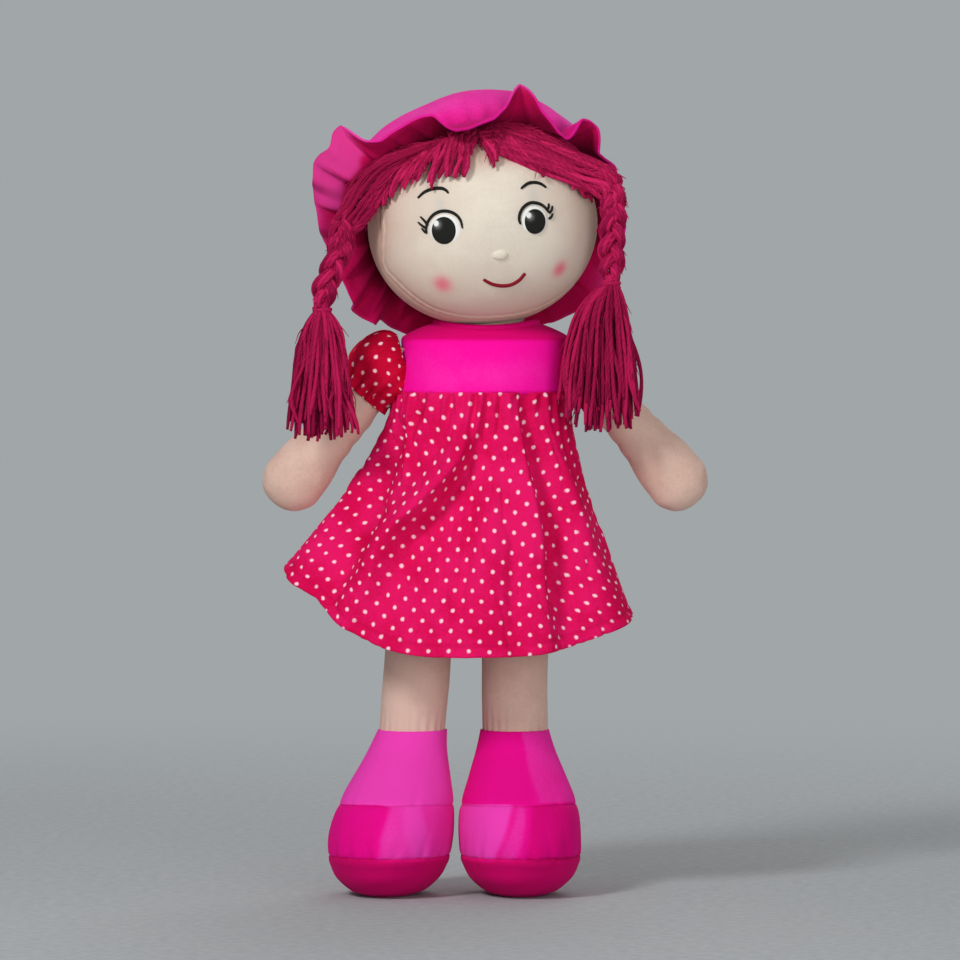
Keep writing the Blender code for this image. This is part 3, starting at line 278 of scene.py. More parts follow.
def make_mesh(name: str, patches: Sequence[Patch]) -> bpy.types.Mesh:
    """Join patches into one mesh with its cloth map and its marks.

    Args:
        name: the mesh's name.
        patches: the grids, which share no points.

    Returns:
        The mesh, smooth all over.
    """
    points, faces, places, marks = [], [], [], {}
    start = 0
    names = sorted({mark for patch in patches for mark in patch.marks})
    for patch in patches:
        flat = patch.flat_places()
        quads, cloth_quads = patch.corners()
        own = patch.points.reshape(-1, 3)
        values = {mark: np.broadcast_to(patch.marks.get(mark, 0.0), patch.points.shape[:2]).ravel()
                  for mark in names}
        faces += (quads + start).tolist()
        places.append(flat[cloth_quads].reshape(-1, 2))
        rows, columns = patch.points.shape[:2]
        for wanted, row in ((patch.close_start, 0), (patch.close_end, rows - 1)):
            if not wanted:
                continue
            ring = np.arange(columns) + row * columns
            after = np.roll(ring, -1)
            tip = len(own)
            own = np.concatenate((own, own[ring].mean(axis=0, keepdims=True)))
            values = {mark: np.append(value, value[ring].mean()) for mark, value in values.items()}
            ends = (ring, after) if row else (after, ring)
            fan = np.stack((*ends, np.full(columns, tip)), axis=-1)
            faces += (fan + start).tolist()
            width = columns + (1 if patch.round else 0)
            edge = flat[row * width + np.arange(columns)]
            places.append(np.stack((edge, edge, edge), axis=1).reshape(-1, 2))
        points.append(own)
        for mark in names:
            marks.setdefault(mark, []).append(values[mark])
        start += len(own)
    mesh = bpy.data.meshes.new(name)
    mesh.from_pydata(np.concatenate(points).tolist(), [], faces)
    cloth = mesh.uv_layers.new(name="cloth")
    cloth.uv.foreach_set("vector", np.concatenate(places).astype(np.float32).ravel())
    for mark, parts in marks.items():
        layer = mesh.attributes.new(mark, "FLOAT", "POINT")
        layer.data.foreach_set("value", np.concatenate(parts).astype(np.float32))
    mesh.shade_smooth()
    mesh.update()
    return mesh


def add_object(name: str, data: bpy.types.ID) -> bpy.types.Object:
    """A new object in the scene."""
    made = bpy.data.objects.new(name, data)
    bpy.context.scene.collection.objects.link(made)
    return made


def make_piece(name: str, patches: Sequence[Patch], finishes: Sequence[Finish]) -> bpy.types.Object:
    """Make an object at the origin out of patches.

    Args:
        name: the piece's name.
        patches: its grids.
        finishes: its materials, the one for the faces first.

    Returns:
        The new object.
    """
    mesh = make_mesh(name, patches)
    for finish in finishes:
        mesh.materials.append(finish.material())
    log.info("%s: %d faces", name, len(mesh.polygons))
    return add_object(name, mesh)


def settle(piece: bpy.types.Object, body: str, *nodes: str, fill: float = 0.0) -> None:
    """Set a piece on its body and hide the nodes of the frame that it replaces.

    Args:
        piece: the piece.
        body: the body of the frame that carries it.
        nodes: the nodes of the frame that it replaces.
        fill: how full it is stuffed; zero for a piece that isn't. It is not used.
    """
    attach(piece, body)
    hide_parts(*nodes)


def give_wall(piece: bpy.types.Object, thickness: float, lining: bool = False) -> None:
    """Give an open cloth its thickness, inwards, with the second finish on its inside if asked."""
    wall = piece.modifiers.new("wall", "SOLIDIFY")
    wall.thickness = thickness
    wall.offset = -1
    wall.use_even_offset = False
    if lining:
        wall.material_offset = 1
        wall.material_offset_rim = 0


def tube_patches(paths: Array, radii: Array, sides: int, dye: Array, facing: Array) -> list[Patch]:
    """Tubes along paths, as one patch each.

    A ring at a place p is p + r (cos t * across + sin t * up), where across and up are square to
    the path's own direction there.

    Args:
        paths: strands by rows by three.
        radii: strands by rows.
        sides: points in a ring.
        dye: one colour value for each strand.
        facing: a direction that no path runs along.

    Returns:
        One closed patch for each strand.
    """
    along = unit(np.gradient(paths, axis=1))
    across = unit(np.cross(along, np.broadcast_to(facing, along.shape)))
    up = np.cross(across, along)
    turn = circle(sides)
    rings = paths[:, :, None] + radii[:, :, None, None] * (
        np.cos(turn)[:, None] * across[:, :, None] + np.sin(turn)[:, None] * up[:, :, None])
    walked = arc_length(paths, 1)
    round_share = np.arange(sides + 1) / sides
    made = []
    for number in range(len(paths)):
        cloth = grid(walked[number][:, None], round_share[None] + dye[number])
        mark = np.full(rings.shape[1:3], dye[number])
        made.append(Patch(rings[number], cloth, True, False, True, True, {"dye": mark}).facing())
    return made


def loose_fibres(lines: Array, count: int, reach: float, seed: int) -> list[Patch]:
    """Fine fibres that leave the strands and curl away from them.

    A fibre follows a short run of its strand and moves off it as reach * t^1.6, with t from 0 at
    its start to 1 at its tip.

    Args:
        lines: the strands' middle lines, strands by rows by three.
        count: how many fibres.
        reach: how far a tip stands off, at the most.
        seed: which pattern.

    Returns:
        One patch for each fibre.
    """
    random = np.random.default_rng(seed)
    rows = 7
    strand = random.integers(0, len(lines), count)
    start = random.integers(2, lines.shape[1] - rows - 1, count)
    run = lines[strand[:, None], start[:, None] + np.arange(rows)[None]]
    way = unit(random.normal(size=(count, 1, 3)))
    curl = unit(random.normal(size=(count, 1, 3)))
    share = np.linspace(0, 1, rows)[None, :, None]
    off = reach * random.uniform(0.4, 1.0, (count, 1, 1))
    run = run + way * (0.9 * MM + off * share**1.6) + curl * 0.35 * off * np.sin(4 * share)
    radii = np.broadcast_to(0.34 * MM * (1 - 0.6 * share[..., 0] ** 2), run.shape[:2])
    return tube_patches(run, radii, 4, random.uniform(-0.6, 1, count), np.array((0.3, 1.0, 0.2)))


# Finishes


def paint(code: str) -> tuple[float, float, float, float]:
    """Linear colour of a six-figure colour code."""
    parts = [int(code[start:start + 2], 16) / 255 for start in (1, 3, 5)]
    linear = [c / 12.92 if c <= 0.04045 else ((c + 0.055) / 1.055) ** 2.4 for c in parts]
    return (*linear, 1.0)


class Recipe:
    """A material's nodes, put together one at a time."""

    def __init__(self, name: str) -> None:
        """Start a material with one main shader."""
        self.material = bpy.data.materials.new(name)
        self.material.use_nodes = True
        self.nodes = self.material.node_tree.nodes
        self.links = self.material.node_tree.links
        self.shader = self.nodes["Principled BSDF"]

    def add(self, kind: str, settings: dict[str, object] | None = None,
            inputs: dict[int | str, object] | None = None) -> bpy.types.Node:
        """Add a node.

        Args:
            kind: the node's type.
            settings: its own settings.
            inputs: a socket or a plain value for each input.

        Returns:
            The node.
        """
        node = self.nodes.new(kind)
        for name, value in (settings or {}).items():
            setattr(node, name, value)
        for name, value in (inputs or {}).items():
            if isinstance(value, bpy.types.NodeSocket):
                self.links.new(value, node.inputs[name])
            else:
                node.inputs[name].default_value = value
        return node

    def place(self) -> bpy.types.NodeSocket:
        """Place in the doll's frame."""
        return self.add("ShaderNodeTexCoord").outputs["Object"]

    def cloth(self) -> tuple[bpy.types.NodeSocket, bpy.types.NodeSocket]:
        """Place on the flat cloth, as two lengths."""
        flat = self.add("ShaderNodeUVMap", {"uv_map": "cloth"})
        split = self.add("ShaderNodeSeparateXYZ", None, {0: flat.outputs[0]})
        return split.outputs[0], split.outputs[1]

    def mark(self, name: str) -> bpy.types.NodeSocket:
        """A named value of the mesh."""
        return self.add("ShaderNodeAttribute", {"attribute_name": name}).outputs["Fac"]

    def math(self, operation: str, *values: object) -> bpy.types.NodeSocket:
        """One step of arithmetic."""
        return self.add("ShaderNodeMath", {"operation": operation},
                        dict(enumerate(values))).outputs[0]

    def mix(self, share: object, first: object, second: object) -> bpy.types.NodeSocket:
        """Blend of two colours."""
        node = self.add("ShaderNodeMix", {"data_type": "RGBA"},
                        {"Factor": share, 6: first, 7: second})
        return node.outputs[2]

    def span(self, value: object, low: float, high: float, out_low: float = 0.0,
             out_high: float = 1.0) -> bpy.types.NodeSocket:
        """Map a range smoothly to another."""
        return self.add("ShaderNodeMapRange", {"interpolation_type": "SMOOTHSTEP"},
                        {0: value, 1: low, 2: high, 3: out_low, 4: out_high}).outputs[0]

    def noise(self, size: float, detail: float = 2.0, rough: float = 0.5) -> bpy.types.NodeSocket:
        """Cloudy pattern in the doll's frame, with swells of about a given width."""
        return self.add("ShaderNodeTexNoise", None, {
            "Vector": self.place(), "Scale": 1 / size, "Detail": detail,
            "Roughness": rough}).outputs["Fac"]

    def bump(self, height: object, depth: float, strength: float = 1.0,
             under: bpy.types.NodeSocket | None = None) -> bpy.types.NodeSocket:
        """Relief of a given depth."""
        inputs = {"Strength": strength, "Distance": depth, "Height": height}
        if under is not None:
            inputs["Normal"] = under
        return self.add("ShaderNodeBump", None, inputs).outputs[0]

    def finish(self, colour: object, normal: bpy.types.NodeSocket | None, roughness: object,
               sheen: float, sheen_rough: float, tint: tuple[float, ...]) -> bpy.types.Material:
        """Wire the shader.

        Args:
            colour: base colour socket.
            normal: relief.
            roughness: number or socket.
            sheen: how much soft edge light the fibres give.
            sheen_rough: how wide that light spreads.
            tint: its colour.

        Returns:
            The material.
        """
        self.links.new(colour, self.shader.inputs["Base Color"])
        if normal is not None:
            self.links.new(normal, self.shader.inputs["Normal"])
        if isinstance(roughness, bpy.types.NodeSocket):
            self.links.new(roughness, self.shader.inputs["Roughness"])
        else:
            self.shader.inputs["Roughness"].default_value = roughness
        self.shader.inputs["Sheen Weight"].default_value = sheen
        self.shader.inputs["Sheen Roughness"].default_value = sheen_rough
        self.shader.inputs["Sheen Tint"].default_value = tint
        self.shader.inputs["Specular IOR Level"].default_value = 0.05
        return self.material


@dataclass(frozen=True)
class Finish:
    """A surface finish; each kind says how its nodes go together."""

    name: str

    def material(self) -> bpy.types.Material:
        """The finish's material, made at its first use."""
        return bpy.data.materials.get(self.name) or self.build()

    def build(self) -> bpy.types.Material:
        """Make the material."""
        raise NotImplementedError


@dataclass(frozen=True)
class Cotton(Finish):
    """Plain woven cotton: threads over and under, with soft clouds of tone.

    Attributes:
        light: colour of the high tone.
        deep: colour of the low tone.
        thread: spacing of the threads.
        relief: height of the weave.
    """

    light: str = "#d6b7a8"
    deep: str = "#c9a798"
    thread: float = 0.55 * MM
    relief: float = 0.05 * MM
    sheen: float = 0.12
    tint: str = "#fff1ea"

    def weave(self, recipe: Recipe) -> bpy.types.NodeSocket:
        """Height of the weave: sin(pi u / thread) * sin(pi v / thread), squared."""
        across, down = recipe.cloth()
        waves = [recipe.math("SINE", recipe.math("MULTIPLY", way, math.pi / self.thread))
                 for way in (across, down)]
        product = recipe.math("MULTIPLY", *waves)
        return recipe.math("MULTIPLY", product, product)

    def tone(self, recipe: Recipe) -> bpy.types.NodeSocket:
        """Clouds of tone and a fine mottle."""
        clouds = recipe.math("ADD", recipe.math("MULTIPLY", recipe.noise(30 * MM, 3), 0.75),
                             recipe.math("MULTIPLY", recipe.noise(1.3 * MM, 2), 0.25))
        return recipe.span(clouds, 0.38, 0.62)

    def colour(self, recipe: Recipe) -> bpy.types.NodeSocket:
        """Base colour of the cloth."""
        return recipe.mix(self.tone(recipe), paint(self.deep), paint(self.light))

    def build(self) -> bpy.types.Material:
        """Make the material."""
        recipe = Recipe(self.name)
        colour = self.colour(recipe)
        weave = self.weave(recipe)
        colour = recipe.mix(recipe.math("MULTIPLY", weave, 0.12), colour, paint(self.deep))
        soft = recipe.bump(recipe.noise(5 * MM, 3), 0.25 * MM, 0.5)
        normal = recipe.bump(weave, self.relief, 0.7, soft)
        return recipe.finish(colour, normal, 0.85, self.sheen, 0.5, paint(self.tint))


@dataclass(frozen=True)
class FaceCotton(Cotton):
    """Face cloth, with the blush of the cheeks and the shade of the brow painted on, and a warm
    painted shade near its seam and over the forehead.
    """

    light: str = "#e2dacb"
    deep: str = "#d9cfc0"
    blush: str = "#e4617d"
    shade: str = "#bdbab3"
    # Colour of the warm painted shade near the seam and over the forehead.
    warm: str = "#c4a291"

    def colour(self, recipe: Recipe) -> bpy.types.NodeSocket:
        """Cloth colour, with the painted marks over it."""
        cloth = recipe.mix(self.tone(recipe), paint(self.deep), paint(self.light))
        cloth = recipe.mix(recipe.mark("warm"), cloth, paint(self.warm))
        shaded = recipe.mix(recipe.mark("shade"), cloth, paint(self.shade))
        return recipe.mix(recipe.mark("blush"), shaded, paint(self.blush))


@dataclass(frozen=True)
class DottedCotton(Cotton):
    """Printed cotton: white dots on a staggered lattice.

    A dot stands at every whole number of steps across and down, and one more in the middle of
    each such cell.
    """

    light: str = "#de1562"
    deep: str = "#cc064b"
    dot: str = "#fbd3e2"
    step_across: float = 11.2 * MM
    step_down: float = 10.6 * MM
    dot_radius: float = 1.0 * MM
    sheen: float = 0.04
    tint: str = "#ff3a7c"

    def dots(self, recipe: Recipe) -> bpy.types.NodeSocket:
        """One on a dot and zero off it, with a slightly uneven edge."""
        across, down = recipe.cloth()
        nearest = None
        for shift in (0.0, 0.5):
            parts = []
            for way, step in ((across, self.step_across), (down, self.step_down)):
                cell = recipe.math("ADD", recipe.math("DIVIDE", way, step), shift)
                inside = recipe.math("MULTIPLY", recipe.math("WRAP", cell, 0.5, -0.5), step)
                parts.append(recipe.math("MULTIPLY", inside, inside))
            distance = recipe.math("SQRT", recipe.math("ADD", *parts))
            nearest = distance if nearest is None else recipe.math("MINIMUM", nearest, distance)
        uneven = recipe.math("MULTIPLY", recipe.math("SUBTRACT", recipe.noise(0.9 * MM, 2), 0.5),
                             0.7 * MM)
        return recipe.span(recipe.math("ADD", nearest, uneven), self.dot_radius + 0.45 * MM,
                           self.dot_radius - 0.45 * MM)

    def colour(self, recipe: Recipe) -> bpy.types.NodeSocket:
        """Cloth colour with its dots, and a darker line where the hem is stitched."""
        cloth = recipe.mix(self.tone(recipe), paint(self.deep), paint(self.light))
        printed = recipe.mix(recipe.math("MULTIPLY", self.dots(recipe), 0.93), cloth,
                             paint(self.dot))
        return recipe.mix(recipe.mark("stitch"), printed, paint("#a80340"))


@dataclass(frozen=True)
class Velour(Finish):
    """Short cut pile, light where it is brushed up and deep where it lies down, with painted light
    and shade on some pieces.

    Attributes:
        light: colour of the pile brushed up.
        middle: usual colour.
        deep: colour of the pile lying down.
        patch: width of a brushed patch.
    """

    light: str = "#ea3fb2"
    middle: str = "#e50a8a"
    deep: str = "#cf036c"
    patch: float = 34 * MM
    spread: float = 0.8
    sheen: float = 0.16

    def build(self) -> bpy.types.Material:
        """Make the material."""
        recipe = Recipe(self.name)
        drift = recipe.math("SUBTRACT", recipe.noise(self.patch, 3, 0.6), 0.5)
        grain = recipe.math("SUBTRACT", recipe.noise(0.9 * MM, 3, 0.7), 0.5)
        # The nap mark holds the brushed pile, and on the bodice and the cap also painted light and
        # shade.
        nap = recipe.math("ADD", recipe.mark("nap"), recipe.math("MULTIPLY", drift, self.spread))
        nap = recipe.math("ADD", nap, recipe.math("MULTIPLY", grain, 0.55))
        lower = recipe.mix(recipe.span(nap, -0.75, 0.0), paint(self.deep), paint(self.middle))
        colour = recipe.mix(recipe.span(nap, 0.0, 0.75), lower, paint(self.light))
        soft = recipe.bump(recipe.noise(4 * MM, 3), 0.35 * MM, 0.45)
        normal = recipe.bump(recipe.noise(0.5 * MM, 3, 0.8), 0.12 * MM, 0.6, soft)
        return recipe.finish(colour, normal, 0.9, self.sheen, 0.4, paint("#ff48b0"))


@dataclass(frozen=True)
class Yarn(Finish):
    """Plied yarn: three plies wound round each other, with loose fibres.

    Attributes:
        light: colour of the ply's crown.
        deep: colour of the groove.
        lay: length of one turn of a ply.
    """

    light: str = "#cc2560"
    deep: str = "#8c103c"
    lay: float = 13 * MM
    plies: int = 3

    def build(self) -> bpy.types.Material:
        """Make the material; a groove lies where plies * (round + along / lay) is whole."""
        recipe = Recipe(self.name)
        along, around = recipe.cloth()
        turns = recipe.math("ADD", around, recipe.math("DIVIDE", along, self.lay))
        groove = recipe.math("ABSOLUTE", recipe.math(
            "SINE", recipe.math("MULTIPLY", turns, math.pi * self.plies)))
        fibres = recipe.noise(0.45 * MM, 3, 0.8)
        # Painted shade: the grooves between the plies are darker, besides their bump.
        tone = recipe.math("ADD", recipe.math("MULTIPLY", groove, 0.24),
                           recipe.math("MULTIPLY", fibres, 0.76))
        # Each strand's own dye, and on the right side hair also painted shade.
        tone = recipe.math("ADD", tone, recipe.math("MULTIPLY", recipe.mark("dye"), 0.34))
        colour = recipe.mix(recipe.span(tone, 0.1, 0.95), paint(self.deep), paint(self.light))
        soft = recipe.bump(fibres, 0.3 * MM, 0.7)
        normal = recipe.bump(groove, 0.18 * MM, 0.6, soft)
        return recipe.finish(colour, normal, 0.85, 0.14, 0.45, paint("#ff3f80"))


@dataclass(frozen=True)
class Embroidery(Finish):
    """Satin stitch: fine threads laid side by side across the stroke."""

    light: str = "#3a3733"
    deep: str = "#121110"
    glow: str = ""
    thread: float = 0.42 * MM

    def build(self) -> bpy.types.Material:
        """Make the material; the threads lie at whole steps along the cloth's first way."""
        recipe = Recipe(self.name)
        along, _ = recipe.cloth()
        wobble = recipe.math("MULTIPLY", recipe.noise(1.5 * MM, 2), 0.5 * MM)
        wave = recipe.math("ABSOLUTE", recipe.math("SINE", recipe.math(
            "MULTIPLY", recipe.math("ADD", along, wobble), math.pi / self.thread)))
        colour = recipe.mix(recipe.math("MULTIPLY", wave, 0.8), paint(self.deep), paint(self.light))
        if self.glow:
            colour = recipe.mix(recipe.mark("glow"), colour, paint(self.glow))
        normal = recipe.bump(wave, 0.12 * MM, 0.6)
        return recipe.finish(colour, normal, 0.5, 0.15, 0.4, paint("#ffffff"))


SKIN = Cotton("skin_cotton")
FACE = FaceCotton("face_cotton")
NOSE = FaceCotton("nose_cotton", light="#e4dccd", deep="#dcd2c3")
HEAD_BACK = FaceCotton("head_back_cotton", light="#cdb2a3", deep="#c0a495")
SKIRT_COTTON = DottedCotton("skirt_dotted_cotton")
# Sleeve cotton: the skirt's dotted print in a redder tone, painted darker as the shade the sleeves
# lie in.
SHADED_SLEEVE_COTTON = DottedCotton("shaded_sleeve_dotted_cotton", light="#c40834", deep="#aa022a")
COTTON_WRONG_SIDE = Cotton("dress_wrong_side", light="#c9184f", deep="#b50a40", sheen=0.05)
BODICE_VELOUR = Velour("bodice_velour", light="#f53cb4", middle="#f20a98", deep="#cf0468",
                       patch=40 * MM, spread=0.7)
# Binding velour: the bodice's velour painted darker, as the shade under the chin.
SHADED_BINDING_VELOUR = Velour("shaded_binding_velour", light="#d8157a", middle="#cc0468", deep="#b00252")
CAP_VELOUR = Velour("cap_velour", light="#ee4fb4", middle="#dc1a8c", deep="#b80a62", spread=0.6)
# Inside of the brim and the crown: the cap's velour painted darker, as the shade under the brim.
SHADED_BRIM_VELOUR = Velour("shaded_brim_velour", light="#cf3484", middle="#b40a4c", deep="#6e042a",
                     sheen=0.06)
SHOE_VELOUR = Velour("shoe_velour", spread=0.35)
# Sole velour: the shoe's velour painted darker, as the shade low down on the shoe.
SHADED_SOLE_VELOUR = Velour("shaded_sole_velour", light="#dc0b74", middle="#cc0664", deep="#ac0250",
                     spread=0.6)
YARN = Yarn("hair_yarn")
BRAID_YARN = Yarn("braid_yarn", light="#c2205a", deep="#860f3c")
TASSEL_YARN = Yarn("tassel_yarn", light="#b41a50", deep="#780b34")
BLACK_THREAD = Embroidery("black_thread", light="#2a2a27", deep="#0e0f0d")
WHITE_THREAD = Embroidery("white_thread", light="#f2f2ee", deep="#dddcd7")
PUPIL_THREAD = Embroidery("pupil_thread", light="#2a2a27", deep="#0e0f0d", glow="#8a908e")
MOUTH_THREAD = Embroidery("mouth_thread", light="#9c2233", deep="#6a101c")


# Torso and dress


@dataclass(frozen=True)
class TorsoForm:
    """The torso's form, which the dress follows."""

    bottom: float = 193.0 * MM
    height: float = 118 * MM
    half_width: float = 47 * MM
    half_depth: float = 33 * MM
    neck_radius: float = 19 * MM
    hip_lean: float = 9 * MM
    waist_share: float = 0.72
    shoulder_share: float = 0.935
    arm_seam_out: float = 1.5 * MM
    shares: tuple[tuple[float, float, float], ...] = (
        (0.00, 0.86, 0.036), (0.10, 0.93, 0.34), (0.22, 0.99, 0.66), (0.36, 1.02, 0.92),
        (0.52, 1.02, 1.02), (0.68, 1.00, 1.03), (0.82, 0.95, 0.94), (0.92, 0.93, 0.84),
        (0.965, 0.84, 0.73))

    @property
    def top(self) -> float:
        """Height of the neck opening."""
        return self.bottom + self.height

    @property
    def waist(self) -> float:
        """Height of the waist seam."""
        return self.bottom + self.height * self.waist_share

    @property
    def shoulder_height(self) -> float:
        """Height of the shoulder seams."""
        return self.bottom + self.height * self.shoulder_share

    def lean(self, height: Array | float) -> Array:
        """Sideways place of the torso's middle at a height."""
        return -self.hip_lean * (self.top - np.asarray(height)) / self.height

    def half_sizes(self, height: Array | float) -> tuple[Array, Array]:
        """Half width and half depth at a height."""
        fine = along_table(self.shares, np.linspace(0, 1, 60))
        share = (np.asarray(height) - self.bottom) / self.height
        return (np.interp(share, fine[:, 0], fine[:, 1]) * self.half_width,
                np.interp(share, fine[:, 0], fine[:, 2]) * self.half_depth)

    def shoulder(self, side: Side) -> Array:
        """Place of a shoulder seam."""
        height = self.shoulder_height
        wide = float(self.half_sizes(height)[0]) + self.arm_seam_out
        return np.array((float(self.lean(height)) + side.value * wide, 0.0, height))


@dataclass(frozen=True)
class Torso:
    """Stuffed body under the dress, with the flat strip at its hips and the stuffed neck."""

    form: TorsoForm = TorsoForm()
    strip_half_width: float = 42 * MM
    strip_height: float = 6 * MM
    strip_half_thickness: float = 1.2 * MM
    neck_radius: float = 18 * MM
    rows: int = 60
    columns: int = 72

    def build(self) -> None:
        """Make the torso, the strip and the neck, and set the torso and the strip on their bodies.
        """
        self.build_body()
        self.build_strip()
        self.build_neck()

    def build_body(self) -> None:
        """Torso: ovals up a smooth profile, pinched below and drawn in to the neck."""
        form = self.form
        table = [(share * form.height, wide * form.half_width * 0.965,
                  deep * form.half_depth * 0.95) for share, wide, deep in form.shares]
        table.append((form.height, form.neck_radius, form.neck_radius * 0.9))
        rise, wide, deep = along_table(table, np.linspace(0, 1, self.rows)).T[:, :, None]
        turn = circle(self.columns)
        height = form.bottom + rise
        points = grid(form.lean(height) + wide * np.cos(turn), deep * np.sin(turn), height)
        points = points + STANCE
        body = make_piece("torso_body", [closed_form(points)], [SKIN])
        settle(body, "torso", "torso_skin", "torso_filling", fill=0.8)

    def build_strip(self) -> None:
        """Hip strip: a flat fold of cloth, its cross-section a rounded bar."""
        form = self.form
        turn = circle(28)
        along = np.linspace(-1, 1, 48)[:, None]
        narrow = np.sqrt(np.clip(1.0 - along**24, 0.02, 1))
        half = self.strip_half_thickness
        middle = form.bottom - 1.5 * MM - self.strip_height / 2
        rise = np.sign(np.sin(turn)) * np.abs(np.sin(turn)) ** 0.6 * (self.strip_height / 2 + half)
        deep = np.sign(np.cos(turn)) * np.abs(np.cos(turn)) ** 0.6 * half * 0.9
        points = grid(-form.hip_lean + along * self.strip_half_width, deep * narrow,
                      middle + rise * narrow) + STANCE
        strip = make_piece("hip_fold", [closed_form(points)], [SKIN])
        settle(strip, "hips", "hip_strip")

    def build_neck(self) -> None:
        """Neck: a short stuffed tube from the torso's opening into the underside of the head."""
        form = self.form
        share = np.linspace(0, 1, 20)[:, None]
        turn = circle(48)
        radius = self.neck_radius * (1 + 0.34 * share**2)
        height = form.top - 3 * MM + 14.5 * MM * share
        points = grid(radius * np.cos(turn), 0.9 * radius * np.sin(turn), height) + STANCE
        neck = make_piece("neck_stuffed", [closed_form(points)], [SKIN])
        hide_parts("neck")
        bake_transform(neck)


@dataclass(frozen=True)
class Bodice:
    """Velour bodice, from the waist seam over the shoulders to the bound neckline."""

    form: TorsoForm = TorsoForm()
    ease: float = 2.6 * MM
    square: float = 5.6 * MM
    neckline_half_width: float = 28 * MM
    neckline_half_depth: float = 23.5 * MM
    neck_rise: float = 3.2 * MM
    binding_radius: float = 1.9 * MM
    wall: float = 1.3 * MM
    rows: int = 64
    columns: int = 144

    def rings(self) -> Array:
        """Rings of the bodice: ovals round the torso, then over the shoulders to the neckline.

        The neckline rises at the sides by neck_rise * cos(turn)^2, as the head's underside does.

        Returns:
            Rows by columns by three.
        """
        form = self.form
        turn = circle(self.columns)
        low = form.waist - 1.0 * MM
        high = form.bottom + form.height * form.shares[-2][0]
        table = []
        for share in (0.0, 0.35, 0.7, 1.0):
            height = low + (high - low) * share
            wide, deep = form.half_sizes(height)
            table.append((float(form.lean(height)), height, wide + self.ease, deep + self.ease))
        turned = form.bottom + form.height * form.shares[-1][0]
        wide, deep = form.half_sizes(turned)
        table.append((float(form.lean(turned)), turned + self.ease, wide + self.square,
                      deep + self.ease))
        table.append((0.0, form.top + 2.4 * MM, self.neckline_half_width,
                      self.neckline_half_depth))
        share = np.linspace(0, 1, self.rows)
        lean, height, wide, deep = along_table(table, share).T[:, :, None]
        height = height + self.neck_rise * smooth_step(share, 0.8, 1)[:, None] * np.cos(turn) ** 2
        return grid(lean + wide * np.cos(turn), deep * np.sin(turn), height)

    def build(self) -> None:
        """Make the bodice and its neckline binding."""
        rings = self.rings()
        turn = circle(self.columns)
        outward = np.stack((np.cos(turn), np.sin(turn), 0 * turn), axis=-1)
        share = np.linspace(0, 1, self.rows)[:, None]
        tuck = -1.4 * MM * hump(share, 0, 0.03)
        tension = 0.35 * MM * ripple(rings, 26 * MM, 3) * (1 - share)
        rings = rings + outward * (tuck + tension)[..., None]
        # Painted shade on the velour: a dark band along the top, in the chin's shadow, and darker
        # sides where the bodice turns away; it is a little lighter low in the middle.
        band = 1.1 * smooth_step(share, 0.66, 0.84) + 0.5 * smooth_step(share, 0.72, 0.8)
        nap = 0.25 * hump(share, 0.3, 0.3) - band - 0.5 * np.abs(np.cos(turn)) ** 8
        patch = Patch(rings + STANCE, None, True, marks={"nap": nap}).facing()
        bodice = make_piece("bodice_velour_shell", [patch], [BODICE_VELOUR])
        give_wall(bodice, self.wall)
        settle(bodice, "torso", "bodice")
        self.build_binding(rings[-1])

    def build_binding(self, edge: Array) -> None:
        """Neckline binding: a rolled tube along the neckline.

        Args:
            edge: the neckline's points.
        """
        middle = edge.mean(axis=0)
        outward = unit((edge - middle) * (1, 1, 0))
        turn = circle(16)[:, None, None]
        offset = self.binding_radius * (np.cos(turn) * outward + np.sin(turn) * UP)
        patch = Patch(edge + offset + STANCE, None, True, True,
                      marks={"nap": np.zeros(offset.shape[:2])})
        binding = make_piece("neckline_roll", [patch.facing(offset.reshape(-1, 3))],
                             [SHADED_BINDING_VELOUR])
        settle(binding, "torso", "neckline_binding")


@dataclass(frozen=True)
class Fold:
    """A fold of the skirt that stands out or in.

    Attributes:
        rows: share of the skirt's length, degrees round from the front, half width in degrees
            and height in millimetres, from its start to its end.
        pleat: it is only pinched up from the cloth, so that it takes no length of its own.
        left_side: how many times as wide it is towards the doll's left.
    """

    rows: tuple[tuple[float, float, float, float], ...]
    pleat: bool = False
    left_side: float = 1.0

    def out(self, share: Array, turn: Array) -> Array:
        """How far it stands out: height * exp(-(apart / half width)^2).

        Args:
            share: share of the skirt's length, one to a row.
            turn: angles round from the front.

        Returns:
            One value for each row and turn.
        """
        fine = along_table(self.rows, np.linspace(0, 1, 120))
        middle, width, height = (np.interp(share, fine[:, 0], fine[:, column])
                                 for column in (1, 2, 3))
        apart = (np.degrees(turn) - middle + 180) % 360 - 180
        width = np.maximum(width, 0.5) * np.where(apart > 0, self.left_side, 1.0)
        return height * MM * np.exp(-(apart / width) ** 2)


